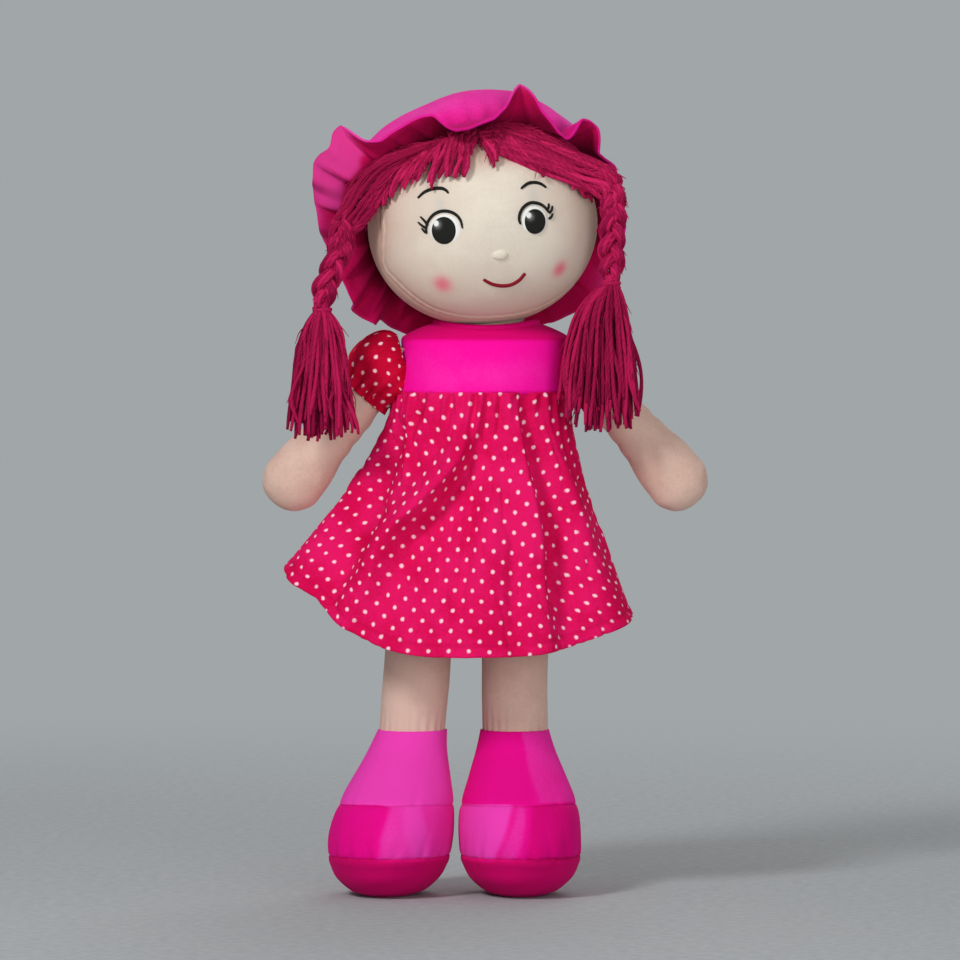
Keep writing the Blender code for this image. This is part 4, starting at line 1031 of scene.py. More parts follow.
FRONT_FOLDS = (
    Fold(((0.10, -58, 8, 0), (0.28, -58, 8, -5), (0.48, -57, 8, -8), (0.68, -54, 7, -8),
          (0.85, -53, 7, -6), (1.0, -53, 7, -4))),
    Fold(((0.15, -76, 10, 0), (0.5, -72, 11, 5), (0.8, -68, 12, 7), (1.0, -68, 12, 6))),
    Fold(((0.02, -3, 7, 1), (0.15, -5, 9, 5), (0.26, -10, 11, 9), (0.35, -18, 11, 10),
          (0.46, -28, 11, 10), (0.58, -37, 10, 9), (0.78, -40, 9, 6), (1.0, -42, 8, 3)),
         left_side=0.36),
    Fold(((0.04, 3, 2.4, -1), (0.18, 1, 3.2, -5), (0.28, -3, 4, -8), (0.37, -11, 4.2, -10),
          (0.48, -21, 4.6, -11), (0.6, -29, 5, -9.5), (0.8, -33, 6, -6), (1.0, -35, 7, -3)),
         left_side=4.2),
    Fold(((0.0, 9, 6, 1), (0.4, 9, 7, 4.5), (0.75, 8, 9, 4.5), (1.0, 8, 12, 2))),
    Fold(((0.02, 20, 8, 2), (0.3, 27, 9, 6.5), (0.6, 30, 10, 7.5), (1.0, 28, 10, 4)),
         left_side=0.45),
    Fold(((0.02, 27, 2.5, -2), (0.12, 30, 3, -7), (0.3, 36, 3.6, -11), (0.5, 40, 4.2, -13),
          (0.75, 40, 4.6, -12), (0.9, 40, 5, -8), (1.0, 40, 6, -4)), left_side=2.8),
    Fold(((0.35, 2, 2, 0), (0.5, 0, 2.6, -3), (0.7, -2, 3, -3.4), (0.9, -3, 3, -1.5),
          (1.0, -3, 3, -0.5)), left_side=2.0),
    Fold(((0.5, 20, 2, 0), (0.65, 19, 3, -2.6), (0.85, 18, 3, -3), (1.0, 18, 3, -1.5)),
         left_side=1.8),
    Fold(((0.3, -66, 3, 0), (0.5, -64, 4, -3.2), (0.75, -60, 4, -3.6), (1.0, -60, 4, -2)),
         left_side=1.8),
    Fold(((0.02, -52, 2.5, 1.5), (0.15, -49, 3.5, 3), (0.3, -42, 4, 2.4), (0.45, -38, 4, 0)),
         left_side=0.5),
    Fold(((0.12, 47, 7, 0), (0.4, 54, 8, 5), (0.8, 58, 11, 7), (1.0, 60, 12, 5))),
    Fold(((0.0, -4, 1.8, -1.5), (0.08, -4, 2.2, -3.4), (0.2, -5, 2.6, -2.6), (0.34, -6, 3, 0)),
         True),
    Fold(((0.0, 1, 2.2, 1.2), (0.12, 0.5, 2.8, 2.2), (0.3, -1, 3, 0)), True),
    Fold(((0.0, -41, 2.2, -1), (0.08, -43, 2.8, -3.6), (0.24, -48, 3.4, 0)), True),
    Fold(((0.0, -36, 2.4, 0.8), (0.1, -37, 3, 2.2), (0.28, -40, 3.4, 0)), True),
    Fold(((0.0, 13, 2, -0.8), (0.08, 13, 2.4, -2), (0.2, 13, 3, 0)), True),
    Fold(((0.0, -20, 2, -0.8), (0.08, -21, 2.4, -2), (0.2, -23, 3, 0)), True),
)
BACK_FOLDS = tuple(
    Fold(((0.08, turn, 6, 0), (0.3, turn + drift / 3, 7, 0.6 * height),
          (0.6, turn + drift, 8, height), (1.0, turn + drift, 9, 0.7 * height)))
    for turn, drift, height in ((88, 6, -7), (-92, -2, -6), (112, 5, 6), (-114, -6, 6),
                                (133, 3, -8), (-134, -6, -8), (155, 2, 6), (-155, -3, 6),
                                (178, 4, -7)))


@dataclass(frozen=True)
class Skirt:
    """Gathered skirt of dotted cotton, an open bell with folds and a stitched hem."""

    form: TorsoForm = TorsoForm()
    ease: float = 2.6 * MM
    length: float = 144 * MM
    hem_half_width: float = 97 * MM
    hem_half_depth: float = 70 * MM
    lean: float = 14 * MM
    rise_left: float = 22 * MM
    rise_right: float = 51 * MM
    rise_back: float = 7 * MM
    rise_left_power: float = 3.2
    rise_right_power: float = 2.9
    flare: float = 1.5
    flare_left: float = 0.2
    gathers: int = 40
    gather_depth: float = 1.0 * MM
    wall: float = 0.7 * MM
    rows: int = 110
    columns: int = 480
    folds: tuple[Fold, ...] = FRONT_FOLDS + BACK_FOLDS

    def surface(self, gathered: bool) -> tuple[Array, Array]:
        """Points of the skirt's outer face.

        The half sizes grow from the waist to the hem as share^flare, faster at first on the
        doll's left. Every fold is added, and small gathers that die away below the waist. The
        hem rises at the sides. A valley is never deeper than the room d in front of the torso:
        its depth v becomes d * tanh(v / d).

        Args:
            gathered: with the gathers and the pinched pleats.

        Returns:
            The points, rows by columns by three, and the share down of each row.
        """
        form = self.form
        turn = circle(self.columns)[None]
        share = np.linspace(0, 1, self.rows)[:, None] ** 1.15
        wide, deep = (float(size) + self.ease for size in form.half_sizes(form.waist))
        side = np.sin(turn)
        rise = np.where(side > 0, self.rise_left * np.abs(side) ** self.rise_left_power,
                        self.rise_right * np.abs(side) ** self.rise_right_power)
        rise = rise + self.rise_back * np.clip(-np.cos(turn), 0, 1)
        out = sum(fold.out(share, turn) for fold in self.folds if gathered or not fold.pleat)
        if gathered:
            fade = np.exp(-share / 0.09) + 0.2 * np.exp(-share / 0.3)
            phase = self.gathers * turn + 0.9 * np.sin(5 * turn) + 1.4 * np.sin(2 * turn + 1)
            out = out + self.gather_depth * np.sin(phase) * fade * smooth_step(share, 0.0, 0.02)
        flare = share ** (self.flare - self.flare_left * side)
        room = 2.9 * MM + (self.hem_half_depth - deep) * flare
        out = np.where(out < 0, -room * np.tanh(-out / room), out)
        wide = wide + (self.hem_half_width - wide) * flare + out
        deep = deep + (self.hem_half_depth - deep) * flare + out
        x = float(form.lean(form.waist)) * (1 - share) - self.lean * share + wide * side
        z = form.waist - (self.length - rise) * share
        points = grid(x, -deep * np.cos(turn), z)
        return points, share

    def flat_map(self, points: Array) -> tuple[Array, float]:
        """Unroll the skirt as two flared panels, front and back, joined at the side seams.

        A panel is part of a ring on the cloth: a point at a distance a round from the panel's
        middle and d down lies at radius r = apex + d and angle a / r.

        Args:
            points: rows by columns by three.

        Returns:
            The cloth places, one column more than the points, and the flat area.
        """
        closed = joined(points)
        walked = arc_length(closed, 1)
        down = arc_length(closed, 0).mean(axis=1, keepdims=True)
        total = walked[:, -1:]
        quarter = self.columns // 4
        front = walked[:, :quarter + 1]
        back = walked[:, quarter:3 * quarter + 1] - walked[:, 2 * quarter:2 * quarter + 1]
        last = walked[:, 3 * quarter:] - total
        around = np.concatenate((front, back[:, 1:], last[:, 1:]), axis=1)
        apex = float((total[2] * (down[-1] - down[2]) / (total[-1] - total[2]))[0])
        radius = apex + down
        angle = around / radius
        cloth = np.stack((radius * np.sin(angle), radius * np.cos(angle) - apex), axis=-1)
        area = float(((total[1:] + total[:-1]) / 2 * np.diff(down, axis=0)).sum())
        return cloth, area

    def build(self) -> None:
        """Make the skirt, with its cloth map from the flat cut panels."""
        points, share = self.surface(True)
        points = points + STANCE
        outward = unit((points - points.mean(axis=1, keepdims=True)) * (1, 1, 0))
        uneven = 0.7 * MM * ripple(points, 22 * MM, 11) * smooth_step(share, 0.05, 0.4)
        for size, seed in ((26 * MM, 12), (17 * MM, 13)):
            wrinkle = hump(ripple(points * (1.5, 1, 0.8), size, seed), 0, 0.16)
            uneven = uneven - 0.9 * MM * wrinkle * smooth_step(share, 0.02, 0.1)
        hem = -0.5 * MM * hump(share, 0.955, 0.006) + 0.3 * MM * smooth_step(share, 0.96, 0.98)
        points = points + outward * (uneven + hem)[..., None]
        cloth, area = self.flat_map(self.surface(False)[0])
        stitch = 0.55 * hump(share, 0.955, 0.0035) + np.zeros(points.shape[:2])
        patch = Patch(points, cloth, True, marks={"stitch": stitch}).facing()
        skirt = make_piece("skirt_cloth", [patch], [SKIRT_COTTON, COTTON_WRONG_SIDE])
        give_wall(skirt, self.wall, lining=True)
        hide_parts("skirt")
        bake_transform(skirt)


@dataclass(frozen=True)
class Sleeve:
    """Puff sleeve: gathered at the armhole and above its ruffled hem."""

    side: Side
    form: TorsoForm = TorsoForm()
    splay: float = math.radians(40)
    drop: float = 8 * MM
    length: float = 36 * MM
    radii: tuple[float, ...] = (14.5, 18.6, 20.8, 21.6, 21.6, 20.6, 18.0, 14.8, 15.6)
    wall: float = 0.7 * MM
    rows: int = 90
    columns: int = 168
    gathers: int = 14

    def rings(self) -> tuple[Array, Array]:
        """Rings from the armhole to the hem.

        The ring's middle moves from the armhole on the bodice's side to the arm's own line, and
        its plane turns from square to the body's side to square to the arm. The radius swells to
        a puff, is drawn in by elastic and flares to a ruffle.

        Returns:
            The points and the share along the sleeve.
        """
        side, form = self.side.value, self.form
        share = np.linspace(0, 1, self.rows)[:, None]
        turn = circle(self.columns)[None]
        seam = form.shoulder(self.side)
        start = seam + np.array((side * 0.3 * MM, 0, -self.drop))
        arm_way = np.array((side * math.sin(self.splay), 0, -math.cos(self.splay)))
        end = seam + arm_way * self.length + np.array((side * 1.2 * MM, 0, 0))
        bend = smooth_step(share, 0.0, 0.75)[..., None]
        first_way = unit(np.array((side * 0.96, 0, -0.28)))
        way = unit(first_way * (1 - bend) + arm_way * bend)
        swing = share[..., None]
        middle = start * (1 - swing) ** 2 + 2 * swing * (1 - swing) * (
            start + first_way * 0.32 * self.length) + end * swing**2
        across = unit(np.cross(np.broadcast_to((0.0, 1.0, 0.0), way.shape), way))
        radius = along_table([(radius,) for radius in self.radii], share[:, 0])[:, :1] * MM
        near_seam = np.exp(-share / 0.12)
        near_elastic = hump(share, 0.9, 0.2)
        wave = np.cos(self.gathers * turn + 0.8 * np.sin(3 * turn))
        fine = np.cos(2.3 * self.gathers * turn + 1.1 * np.sin(4 * turn) + 1)
        radius = radius + MM * (0.9 * near_seam * fine + (1.2 * near_elastic + 0.3) * wave)
        points = middle + radius[..., None] * (np.cos(turn)[..., None] * across
                                               + 0.95 * np.sin(turn)[..., None]
                                               * np.array((0, 1.0, 0)))
        return points, np.broadcast_to(share, radius.shape)

    def build(self) -> None:
        """Make the sleeve between the torso and the arm."""
        points, share = self.rings()
        points = points + STANCE
        stitch = 0.5 * hump(share, 0.89, 0.012)
        around, down = lengths(points)
        flat = np.meshgrid(np.linspace(0, 1, self.rows) * down,
                           np.linspace(0, 1, self.columns + 1) * 0.9 * around.max(), indexing="ij")
        patch = Patch(points, np.stack(flat[::-1], axis=-1), True,
                      marks={"stitch": stitch}).facing()
        name = self.side.label + "_puff_sleeve"
        sleeve = make_piece(name, [patch], [SHADED_SLEEVE_COTTON, COTTON_WRONG_SIDE])
        give_wall(sleeve, self.wall, lining=True)
        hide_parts(self.side.label + "_sleeve")
        seam = self.form.shoulder(self.side) + STANCE
        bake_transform(sleeve)


# Arms, legs and shoes


@dataclass(frozen=True)
class Arm:
    """Stuffed arm with a mitt hand, sewn along both edges and pinched at the shoulder."""

    side: Side
    form: TorsoForm = TorsoForm()
    length: float = 114 * MM
    splay: float = math.radians(40)
    rows: int = 110
    columns: int = 96
    shares: tuple[tuple[float, float, float], ...] = (
        (0.013, 1.2, 8.0), (0.08, 4.2, 9.3), (0.19, 8.2, 11.6), (0.34, 11.8, 12.6),
        (0.54, 13.2, 12.8), (0.67, 15.0, 13.0), (0.80, 17.2, 13.4), (0.90, 16.3, 12.6),
        (0.955, 12.6, 9.6), (0.985, 8.0, 5.6), (0.997, 3.4, 2.4))

    def build(self) -> None:
        """Make the arm: ovals along a straight line, with sewn edges and small wrinkles."""
        table = [(share * self.length, wide * MM, deep * MM) for share, wide, deep in self.shares]
        along, wide, deep = along_table(table, np.linspace(0, 1, self.rows)).T[:, :, None]
        turn = circle(self.columns)[None]
        share = along / self.length
        local = grid(wide * np.cos(turn), deep * np.sin(turn), -along)
        flat_way = unit(grid(np.cos(turn) / np.maximum(wide, 1e-4),
                             np.sin(turn) / np.maximum(deep, 1e-4), 0 * along))
        from_edge = np.minimum(np.abs(np.sin(turn)) * deep, 30 * MM)
        seam = bells(from_edge, (-0.75, 0, 0.9), (0.3, 2, 1.2))
        pucker = 0.28 * MM * np.sin(along / (2.1 * MM) + 2 * np.sin(along / (9 * MM)))
        pucker = pucker * hump(from_edge, 2.5 * MM, 3.5 * MM)
        pinch = 0.7 * MM * np.cos(9 * turn) * np.exp(-share / 0.10)
        lump = 0.45 * MM * ripple(local, 24 * MM, 21 + self.side.value)
        body = smooth_step(share, 0.02, 0.1) * (1 - smooth_step(share, 0.93, 1.0))
        local = local + flat_way * ((seam + pucker + lump) * body + pinch)[..., None]
        local = local @ turn_matrix(-self.side.value * self.splay, "Y").T
        points = local + self.form.shoulder(self.side) + STANCE
        name = self.side.label + "_arm"
        patch = closed_form(points)
        arm = make_piece(name + "_stuffed", [patch], [SKIN])
        settle(arm, name, name + "_skin", name + "_filling", fill=0.75)


@dataclass(frozen=True)
class Stand:
    """Where the legs and shoes stand."""

    hip_lean: float = 9 * MM
    ankle_lean: float = 12.5 * MM
    shoe_lean: float = 16.5 * MM
    hip_half_spacing: float = 25 * MM
    ankle_half_spacing: float = 28.5 * MM
    shoe_half_spacing: float = 35 * MM
    leg_top: float = 184 * MM

    def hip(self, side: Side) -> float:
        """Sideways place of a leg's top."""
        return -self.hip_lean + side.value * self.hip_half_spacing

    def ankle(self, side: Side) -> float:
        """Sideways place of an ankle."""
        return -self.ankle_lean + side.value * self.ankle_half_spacing

    def shoe(self, side: Side) -> float:
        """Sideways place of a shoe's sole."""
        return -self.shoe_lean + side.value * self.shoe_half_spacing


@dataclass(frozen=True)
class Leg:
    """Stuffed leg, pinched at the hip and sewn into the shoe."""

    side: Side
    stand: Stand = Stand()
    length: float = 94 * MM
    radius: float = 18.5 * MM
    rows: int = 90
    columns: int = 96
    shares: tuple[tuple[float, float, float], ...] = (
        (0.00, 0.919, 0.065), (0.12, 0.96, 0.46), (0.26, 1.00, 0.82), (0.42, 1.02, 1.00),
        (0.70, 1.00, 1.00), (0.90, 0.975, 0.975), (1.00, 0.955, 0.955), (1.06, 0.92, 0.92))

    def build(self) -> None:
        """Make the leg: ovals down a slightly slanted line, with a seam behind."""
        down, wide, deep = along_table(
            [(share * self.length, w * self.radius, d * self.radius)
             for share, w, d in self.shares], np.linspace(0, 1, self.rows)).T[:, :, None]
        turn = circle(self.columns)[None]
        hip, ankle = self.stand.hip(self.side), self.stand.ankle(self.side)
        share = down / self.length
        points = grid(hip + (ankle - hip) * share + wide * np.cos(turn), deep * np.sin(turn),
                      self.stand.leg_top - down)
        outward = np.stack((np.cos(turn), np.sin(turn), 0 * turn), axis=-1)
        from_seam = np.abs((turn - math.pi / 2 + math.pi) % TURN - math.pi) * self.radius
        seam = bells(from_seam, (-0.8, 0, 1.0), (0.3, 2.4, 1.3))
        pucker = 0.25 * MM * np.sin(down / (2.2 * MM)) * hump(from_seam, 2.5 * MM, 3.5 * MM)
        ankle_gather = 0.35 * MM * np.cos(22 * turn + np.sin(3 * turn)) * hump(share, 1.0, 0.09)
        lump = 0.4 * MM * ripple(points, 26 * MM, 31 + self.side.value)
        body = smooth_step(share, 0.03, 0.2)
        relief = (seam + pucker + lump) * body + ankle_gather
        points = points + outward * relief[..., None] + STANCE
        name = self.side.label + "_leg"
        patch = closed_form(points)
        leg = make_piece(name + "_stuffed", [patch], [SKIN])
        settle(leg, name, name + "_skin", name + "_filling", fill=0.85)


SOLE_SEAM = 0.25
BAND_SEAM = 0.56


class ShoePart(Enum):
    """A sewn piece of a shoe: node, piece, and the height shares where it starts and ends."""

    SOLE = ("shoe_sole", "shaded_sole_velour", 0.0, SOLE_SEAM)
    BAND = ("shoe_toe_band", "band_velour", SOLE_SEAM, BAND_SEAM)
    UPPER = ("shoe_upper", "upper_velour", BAND_SEAM, 1.0)


@dataclass(frozen=True)
class Nap:
    """A brushed patch of velour on a shoe: turn in degrees from the toe, height share, size.

    Its sides slant by so many degrees of turn for each whole height.
    """

    turn: float
    height: float
    half_turn: float
    half_height: float
    strength: float
    slant: float = 0.0


@dataclass(frozen=True)
class Shoe:
    """Soft stuffed shoe in three sewn pieces."""

    side: Side
    stand: Stand = Stand()
    height: float = 90 * MM
    half_width: float = 33.5 * MM
    half_length: float = 44 * MM
    forward: float = 18 * MM
    columns: int = 180
    shares: tuple[tuple[float, float, float, float], ...] = (
        (0.00, 0.40, 0.46, 0.96), (0.03, 0.62, 0.66, 0.97), (0.10, 0.83, 0.85, 0.99),
        (0.18, 0.945, 0.94, 1.00), (0.25, 1.00, 0.99, 1.02), (0.40, 1.01, 0.97, 0.98),
        (0.56, 0.95, 0.84, 0.86),
        (0.72, 0.80, 0.65, 0.52), (0.87, 0.66, 0.50, 0.18), (1.00, 0.57, 0.43, 0.00))

    @property
    def turned(self) -> float:
        """How far the toe is turned out."""
        return math.radians(2) if self.side is Side.LEFT else -math.radians(9)

    @property
    def naps(self) -> tuple[Nap, ...]:
        """Brushed patches, as they lie on the photographed shoes."""
        if self.side is Side.LEFT:
            return (Nap(-58, 0.40, 39, 0.17, 0.95, 60), Nap(58, 0.40, 54, 0.17, -0.5, 10),
                    Nap(-6, 0.40, 8, 0.17, 0.35, 60), Nap(66, 0.80, 54, 0.23, 0.3, -20),
                    Nap(-40, 0.80, 50, 0.23, -0.12, -20), Nap(180, 0.7, 60, 0.3, 0.4))
        return (Nap(0, 0.80, 190, 0.235, 0.8), Nap(49, 0.40, 46, 0.17, 0.4, 10),
                Nap(36, 0.40, 9, 0.17, 0.3, -50), Nap(-60, 0.40, 60, 0.17, -0.25, 10),
                Nap(180, 0.4, 50, 0.2, 0.4))

    def tucks(self, turn: Array, share: Array) -> Array:
        """Small darts that the curved seams pull into the toe band and the upper.

        Each dart is a narrow valley, -depth * bell(turn) * fade away from its seam.

        Args:
            turn: degrees round from the toe.
            share: share of the height.

        Returns:
            How far each point is moved outwards.
        """
        made = np.zeros(np.broadcast_shapes(turn.shape, share.shape))
        for seam, way, darts in (
                (SOLE_SEAM, 1, ((6, 1.3), (-17, 0.6), (27, 0.9), (47, 1.1), (-44, 1.0), (-70, 0.7),
                                (70, 0.8))),
                (BAND_SEAM, 1, ((12, 0.5), (-30, 0.6), (40, 0.6))),
                (SOLE_SEAM, -1, ((-9, 0.6), (34, 0.6), (-52, 0.6)))):
            gone = (share - seam) * way
            fade = np.where(gone >= 0, np.exp(-gone / 0.085), 0)
            for place, depth in darts:
                lean = self.side.value * place - 26 * np.clip(gone, 0, 1) * np.sign(place)
                valley = hump(turn, lean, 3.4) - 0.55 * hump(turn, lean + 7, 4.5)
                made -= depth * MM * valley * fade
        return made

    def build(self) -> None:
        """Make the three pieces, each rolled in at its seams."""
        for part in ShoePart:
            self.build_part(part)
        filling = self.side.label + "_foot_filling"
        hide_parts(filling)

    def build_part(self, part: ShoePart) -> None:
        """Make one piece: ovals up the shoe's profile, swung out to the shoe's own place.

        Args:
            part: which piece.
        """
        node, label, low, high = part.value
        is_sole = part is ShoePart.SOLE
        rows = {ShoePart.SOLE: 44, ShoePart.BAND: 48, ShoePart.UPPER: 60}[part]
        share = low + (high - low) * np.linspace(0, 1, rows)[:, None] ** (1.6 if is_sole else 1)
        fine = along_table(self.shares, np.linspace(0, 1, 90))
        wide, long, ahead = (np.interp(share, fine[:, 0], fine[:, column]) * size
                             for column, size in ((1, self.half_width), (2, self.half_length),
                                                  (3, self.forward)))
        turn = circle(self.columns)[None]
        degrees = np.degrees((turn + math.pi) % TURN - math.pi)
        distance = np.minimum(np.abs(share - SOLE_SEAM), np.abs(share - BAND_SEAM)) * self.height
        swell = 0.25 * MM * smooth_step(distance, 0.3 * MM, 4.5 * MM) - 0.55 * MM * hump(
            distance, 0, 0.7 * MM)
        if is_sole:
            swell = swell * smooth_step(share, 0.06, 0.14)
        near_seams = hump(share, BAND_SEAM, 0.06) + 0.5 * hump(share, SOLE_SEAM, 0.06)
        seam_wave = 0.9 * MM * np.sin(2.2 * turn + 0.6) * near_seams
        lift = smooth_step(share, 0.05, 0.12)
        out = swell + self.tucks(degrees, share) * lift
        points = grid((wide + out) * np.sin(turn), -ahead - (long + out) * np.cos(turn),
                      share * self.height + seam_wave)
        rough = 0.35 * MM * ripple(points, 16 * MM, 41 + self.side.value) * lift
        points = points + rough[..., None] * np.stack(
            (np.sin(turn), -np.cos(turn), 0 * turn), axis=-1)
        points = points @ turn_matrix(self.turned, "Z").T
        swung = self.stand.shoe(self.side) - self.stand.ankle(self.side)
        points[..., 0] += self.stand.ankle(self.side) + swung * np.sin(
            math.pi / 2 * (1 - np.clip(share, 0, 1)))
        nap = self.brushing(degrees, share)
        nap = np.concatenate((nap[:0 if is_sole else 1], nap, nap[-1:]))
        patch = Patch(self.rolled_in(points, is_sole) + STANCE, None, True, False, is_sole, False,
                      {"nap": nap}).facing()
        side = self.side.label
        shoe = make_piece(f"{side}_{label}", [patch], [SHADED_SOLE_VELOUR if is_sole else SHOE_VELOUR])
        settle(shoe, side + "_leg", f"{side}_{node}", fill=0.85)

    def brushing(self, degrees: Array, share: Array) -> Array:
        """Nap value at each point: the sum of the brushed patches.

        Args:
            degrees: turn from the toe.
            share: share of the height.

        Returns:
            The nap, one value for each point.
        """
        nap = np.zeros(np.broadcast_shapes(degrees.shape, share.shape))
        for patch in self.naps:
            middle = patch.turn + patch.slant * (share - patch.height)
            apart = np.abs((degrees - middle + 180) % 360 - 180)
            ragged = 0.8 * np.sin(23 * share + patch.turn)
            inside = smooth_step(patch.half_turn - apart + ragged, -5.5, 5.5)
            nap += patch.strength * inside * smooth_step(
                patch.half_height - np.abs(share - patch.height), -0.01, 0.01)
        return nap

    @staticmethod
    def rolled_in(points: Array, is_sole: bool) -> Array:
        """Add a row at each seam, 3 mm inside, so that the edge is a rolled seam.

        Args:
            points: the piece's rows.
            is_sole: it has a seam at its top only.

        Returns:
            The rows with the turned ones added.
        """
        ends = points[[0, -1]]
        first, last = ends - unit((ends - ends.mean(axis=1, keepdims=True)) * (1, 1, 0)) * 3 * MM
        return np.concatenate((first[None][int(is_sole):], points, last[None]))


# Head


@dataclass(frozen=True)
class HeadForm:
    """The head's egg form and how it is held."""

    half_width: float = 64 * MM
    half_depth: float = 52 * MM
    half_height: float = 56 * MM
    place: tuple[float, float, float] = (-2 * MM, -7 * MM, 370.5 * MM)
    yaw: float = math.radians(9)
    pitch: float = math.radians(7)
    roll: float = math.radians(6)

    @property
    def half(self) -> Array:
        """Half sizes as an array."""
        return np.array((self.half_width, self.half_depth, self.half_height))

    @property
    def tilt(self) -> Array:
        """Turn from the head's own axes to the doll's."""
        return (turn_matrix(self.yaw, "Z") @ turn_matrix(-self.pitch, "X")
                @ turn_matrix(-self.roll, "Y"))

    def to_doll(self, points: Array) -> Array:
        """Bring points from the head's axes into the doll's frame."""
        return points @ self.tilt.T + np.array(self.place) + STANCE

    def from_doll(self, points: Array) -> Array:
        """Bring points of the doll's frame, without its stance, into the head's axes."""
        return (points - np.array(self.place)) @ self.tilt

    def normal(self, points: Array) -> Array:
        """Outward way at points on the egg."""
        return unit(points / self.half**2)

    def press(self, points: Array, lift: Array | float) -> Array:
        """Bring points onto the egg and lift them off it."""
        on = points / np.linalg.norm(points / self.half, axis=-1, keepdims=True)
        return on + self.normal(on) * np.asarray(lift)[..., None]

    def at(self, around: Array | float, up: Array | float, lift: Array | float = 0.0) -> Array:
        """Point at degrees round from the front and up from the middle."""
        around, up = np.broadcast_arrays(np.radians(around), np.radians(up))
        on = np.stack((self.half_width * np.cos(up) * np.sin(around),
                       -self.half_depth * np.cos(up) * np.cos(around),
                       self.half_height * np.sin(up)), axis=-1)
        return on + self.normal(on) * np.asarray(lift)[..., None]

    def beside(self, angles: tuple[float, float], across: Array, up: Array,
               lift: Array | float) -> Array:
        """Points at lengths across and up from a place on the face, pressed onto the egg.

        Args:
            angles: the place, in degrees round and up.
            across: lengths to the doll's left.
            up: lengths up.
            lift: height off the egg.

        Returns:
            The points in the head's axes.
        """
        middle = self.at(*angles)
        outward = self.normal(middle)
        level = unit(np.cross(UP, outward))
        steep = np.cross(outward, level)
        flat = middle + across[..., None] * level + up[..., None] * steep
        return self.press(flat, lift)


@dataclass(frozen=True)
class Head:
    """Stuffed head in two panels, sewn round its edge, with the painted blush."""

    form: HeadForm = HeadForm()
    seam: tuple[tuple[float, float], ...] = (
        (-180, 20.5), (-170, 16), (-160, 9.5), (-150, 11.5), (-140, 12.2), (-125, 11.8),
        (-105, 14.2), (-92, 15.3),
        (-75, 12.8), (-60, 10), (-45, 9), (-30, 11.5), (-10, 16.5), (15, 17), (60, 15),
        (120, 16), (180, 20.5))
    cheeks: tuple[tuple[float, float, float], ...] = ((-38.3, -37.3, 5.3), (41.0, -35.5, 4.8))
    columns: int = 220

    def seam_depth(self, turn: Array) -> Array:
        """Depth of the seam in front of the head's middle, read from its table all round."""
        degrees = (np.degrees(turn) + 180) % 360 - 180
        fine = along_table(self.seam, np.linspace(0, 1, 400))
        return -np.interp(degrees, fine[:, 0], fine[:, 1]) * MM

    def panel(self, way: int, rows: int) -> Patch:
        """One panel, from the seam to its pole.

        A point at tilt q and turn t is (a cos q cos t, b sin q, c cos q sin t). Near the seam the
        cloth stands up in a fine ridge with a shallow valley beside it, and turns in.

        Args:
            way: -1 for the face and 1 for the back.
            rows: rows of points.

        Returns:
            The panel.
        """
        form = self.form
        turn = circle(self.columns)[None]
        seam = np.arcsin(self.seam_depth(turn) / form.half_depth)
        step = np.linspace(0, 1, rows)[:, None] ** 1.5
        tilt = seam + (way * math.pi / 2 * 0.9985 - seam) * step
        on = grid(form.half_width * np.cos(tilt) * np.cos(turn), form.half_depth * np.sin(tilt),
                  form.half_height * np.cos(tilt) * np.sin(turn))
        from_seam = np.abs(tilt - seam) * form.half_depth
        ridge = bells(from_seam, (0.3, 0.6, 0.6), (-0.25, 2.4, 1.3))
        pucker = 0.16 * MM * np.sin(58 * turn + 3 * np.sin(3 * turn))
        pucker = pucker * np.exp(-from_seam / (5 * MM))
        lump = 0.35 * MM * ripple(on, 34 * MM, 5)
        fade = smooth_step(from_seam, 0, 6 * MM)
        points = on + form.normal(on) * (ridge + pucker + lump * fade)[..., None]
        turned_in = on[:1] - form.normal(on[:1]) * 2.2 * MM
        points = np.concatenate((turned_in, points))
        blush, shade = self.painting(points)
        # Warm painted shade: darker near the seam, where the head turns from the light, and over
        # the forehead, in the shade of the fringe and the brim.
        raised = np.degrees(np.arcsin(np.clip(on[..., 2] / form.half_height, -1, 1)))
        brow = smooth_step(raised, 16, 42)
        warm = np.maximum(0.9 * np.exp(-from_seam / (22 * MM)), 0.9 * brow) + 0 * blush[1:]
        warm = np.concatenate((warm[:1], warm))
        return Patch(form.to_doll(points), None, True, False, False, True,
                     {"blush": blush, "shade": shade, "warm": warm}).facing()

    def painting(self, points: Array) -> tuple[Array, Array]:
        """Blush of the cheeks and the pale shade between brow and eye.

        Args:
            points: places in the head's axes.

        Returns:
            The two values at each point.
        """
        blush = np.zeros(points.shape[:-1])
        for around, up, size in self.cheeks:
            apart = np.linalg.norm(points - self.form.at(around, up), axis=-1)
            blush += 0.85 * np.exp(-(apart / (size * MM)) ** 2.6)
        shade = np.zeros(points.shape[:-1])
        for around, up in ((-28, 8), (20, 7)):
            place = self.form.at(around, up)
            apart = (points - place) * (1 / (3.2 * MM), 1 / (9 * MM), 1 / (6 * MM))
            shade += 0.5 * np.exp(-(apart**2).sum(axis=-1))
        return np.clip(blush, 0, 1), np.clip(shade, 0, 1)

    def build(self) -> None:
        """Make both panels."""
        face = make_piece("face_cloth", [self.panel(-1, 110)], [FACE])
        back = make_piece("head_back_cloth", [self.panel(1, 120)], [HEAD_BACK])
        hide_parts("face_panel", "head_filling")
        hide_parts("head_back_panel")
        for piece in (face, back):
            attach(piece, "head")


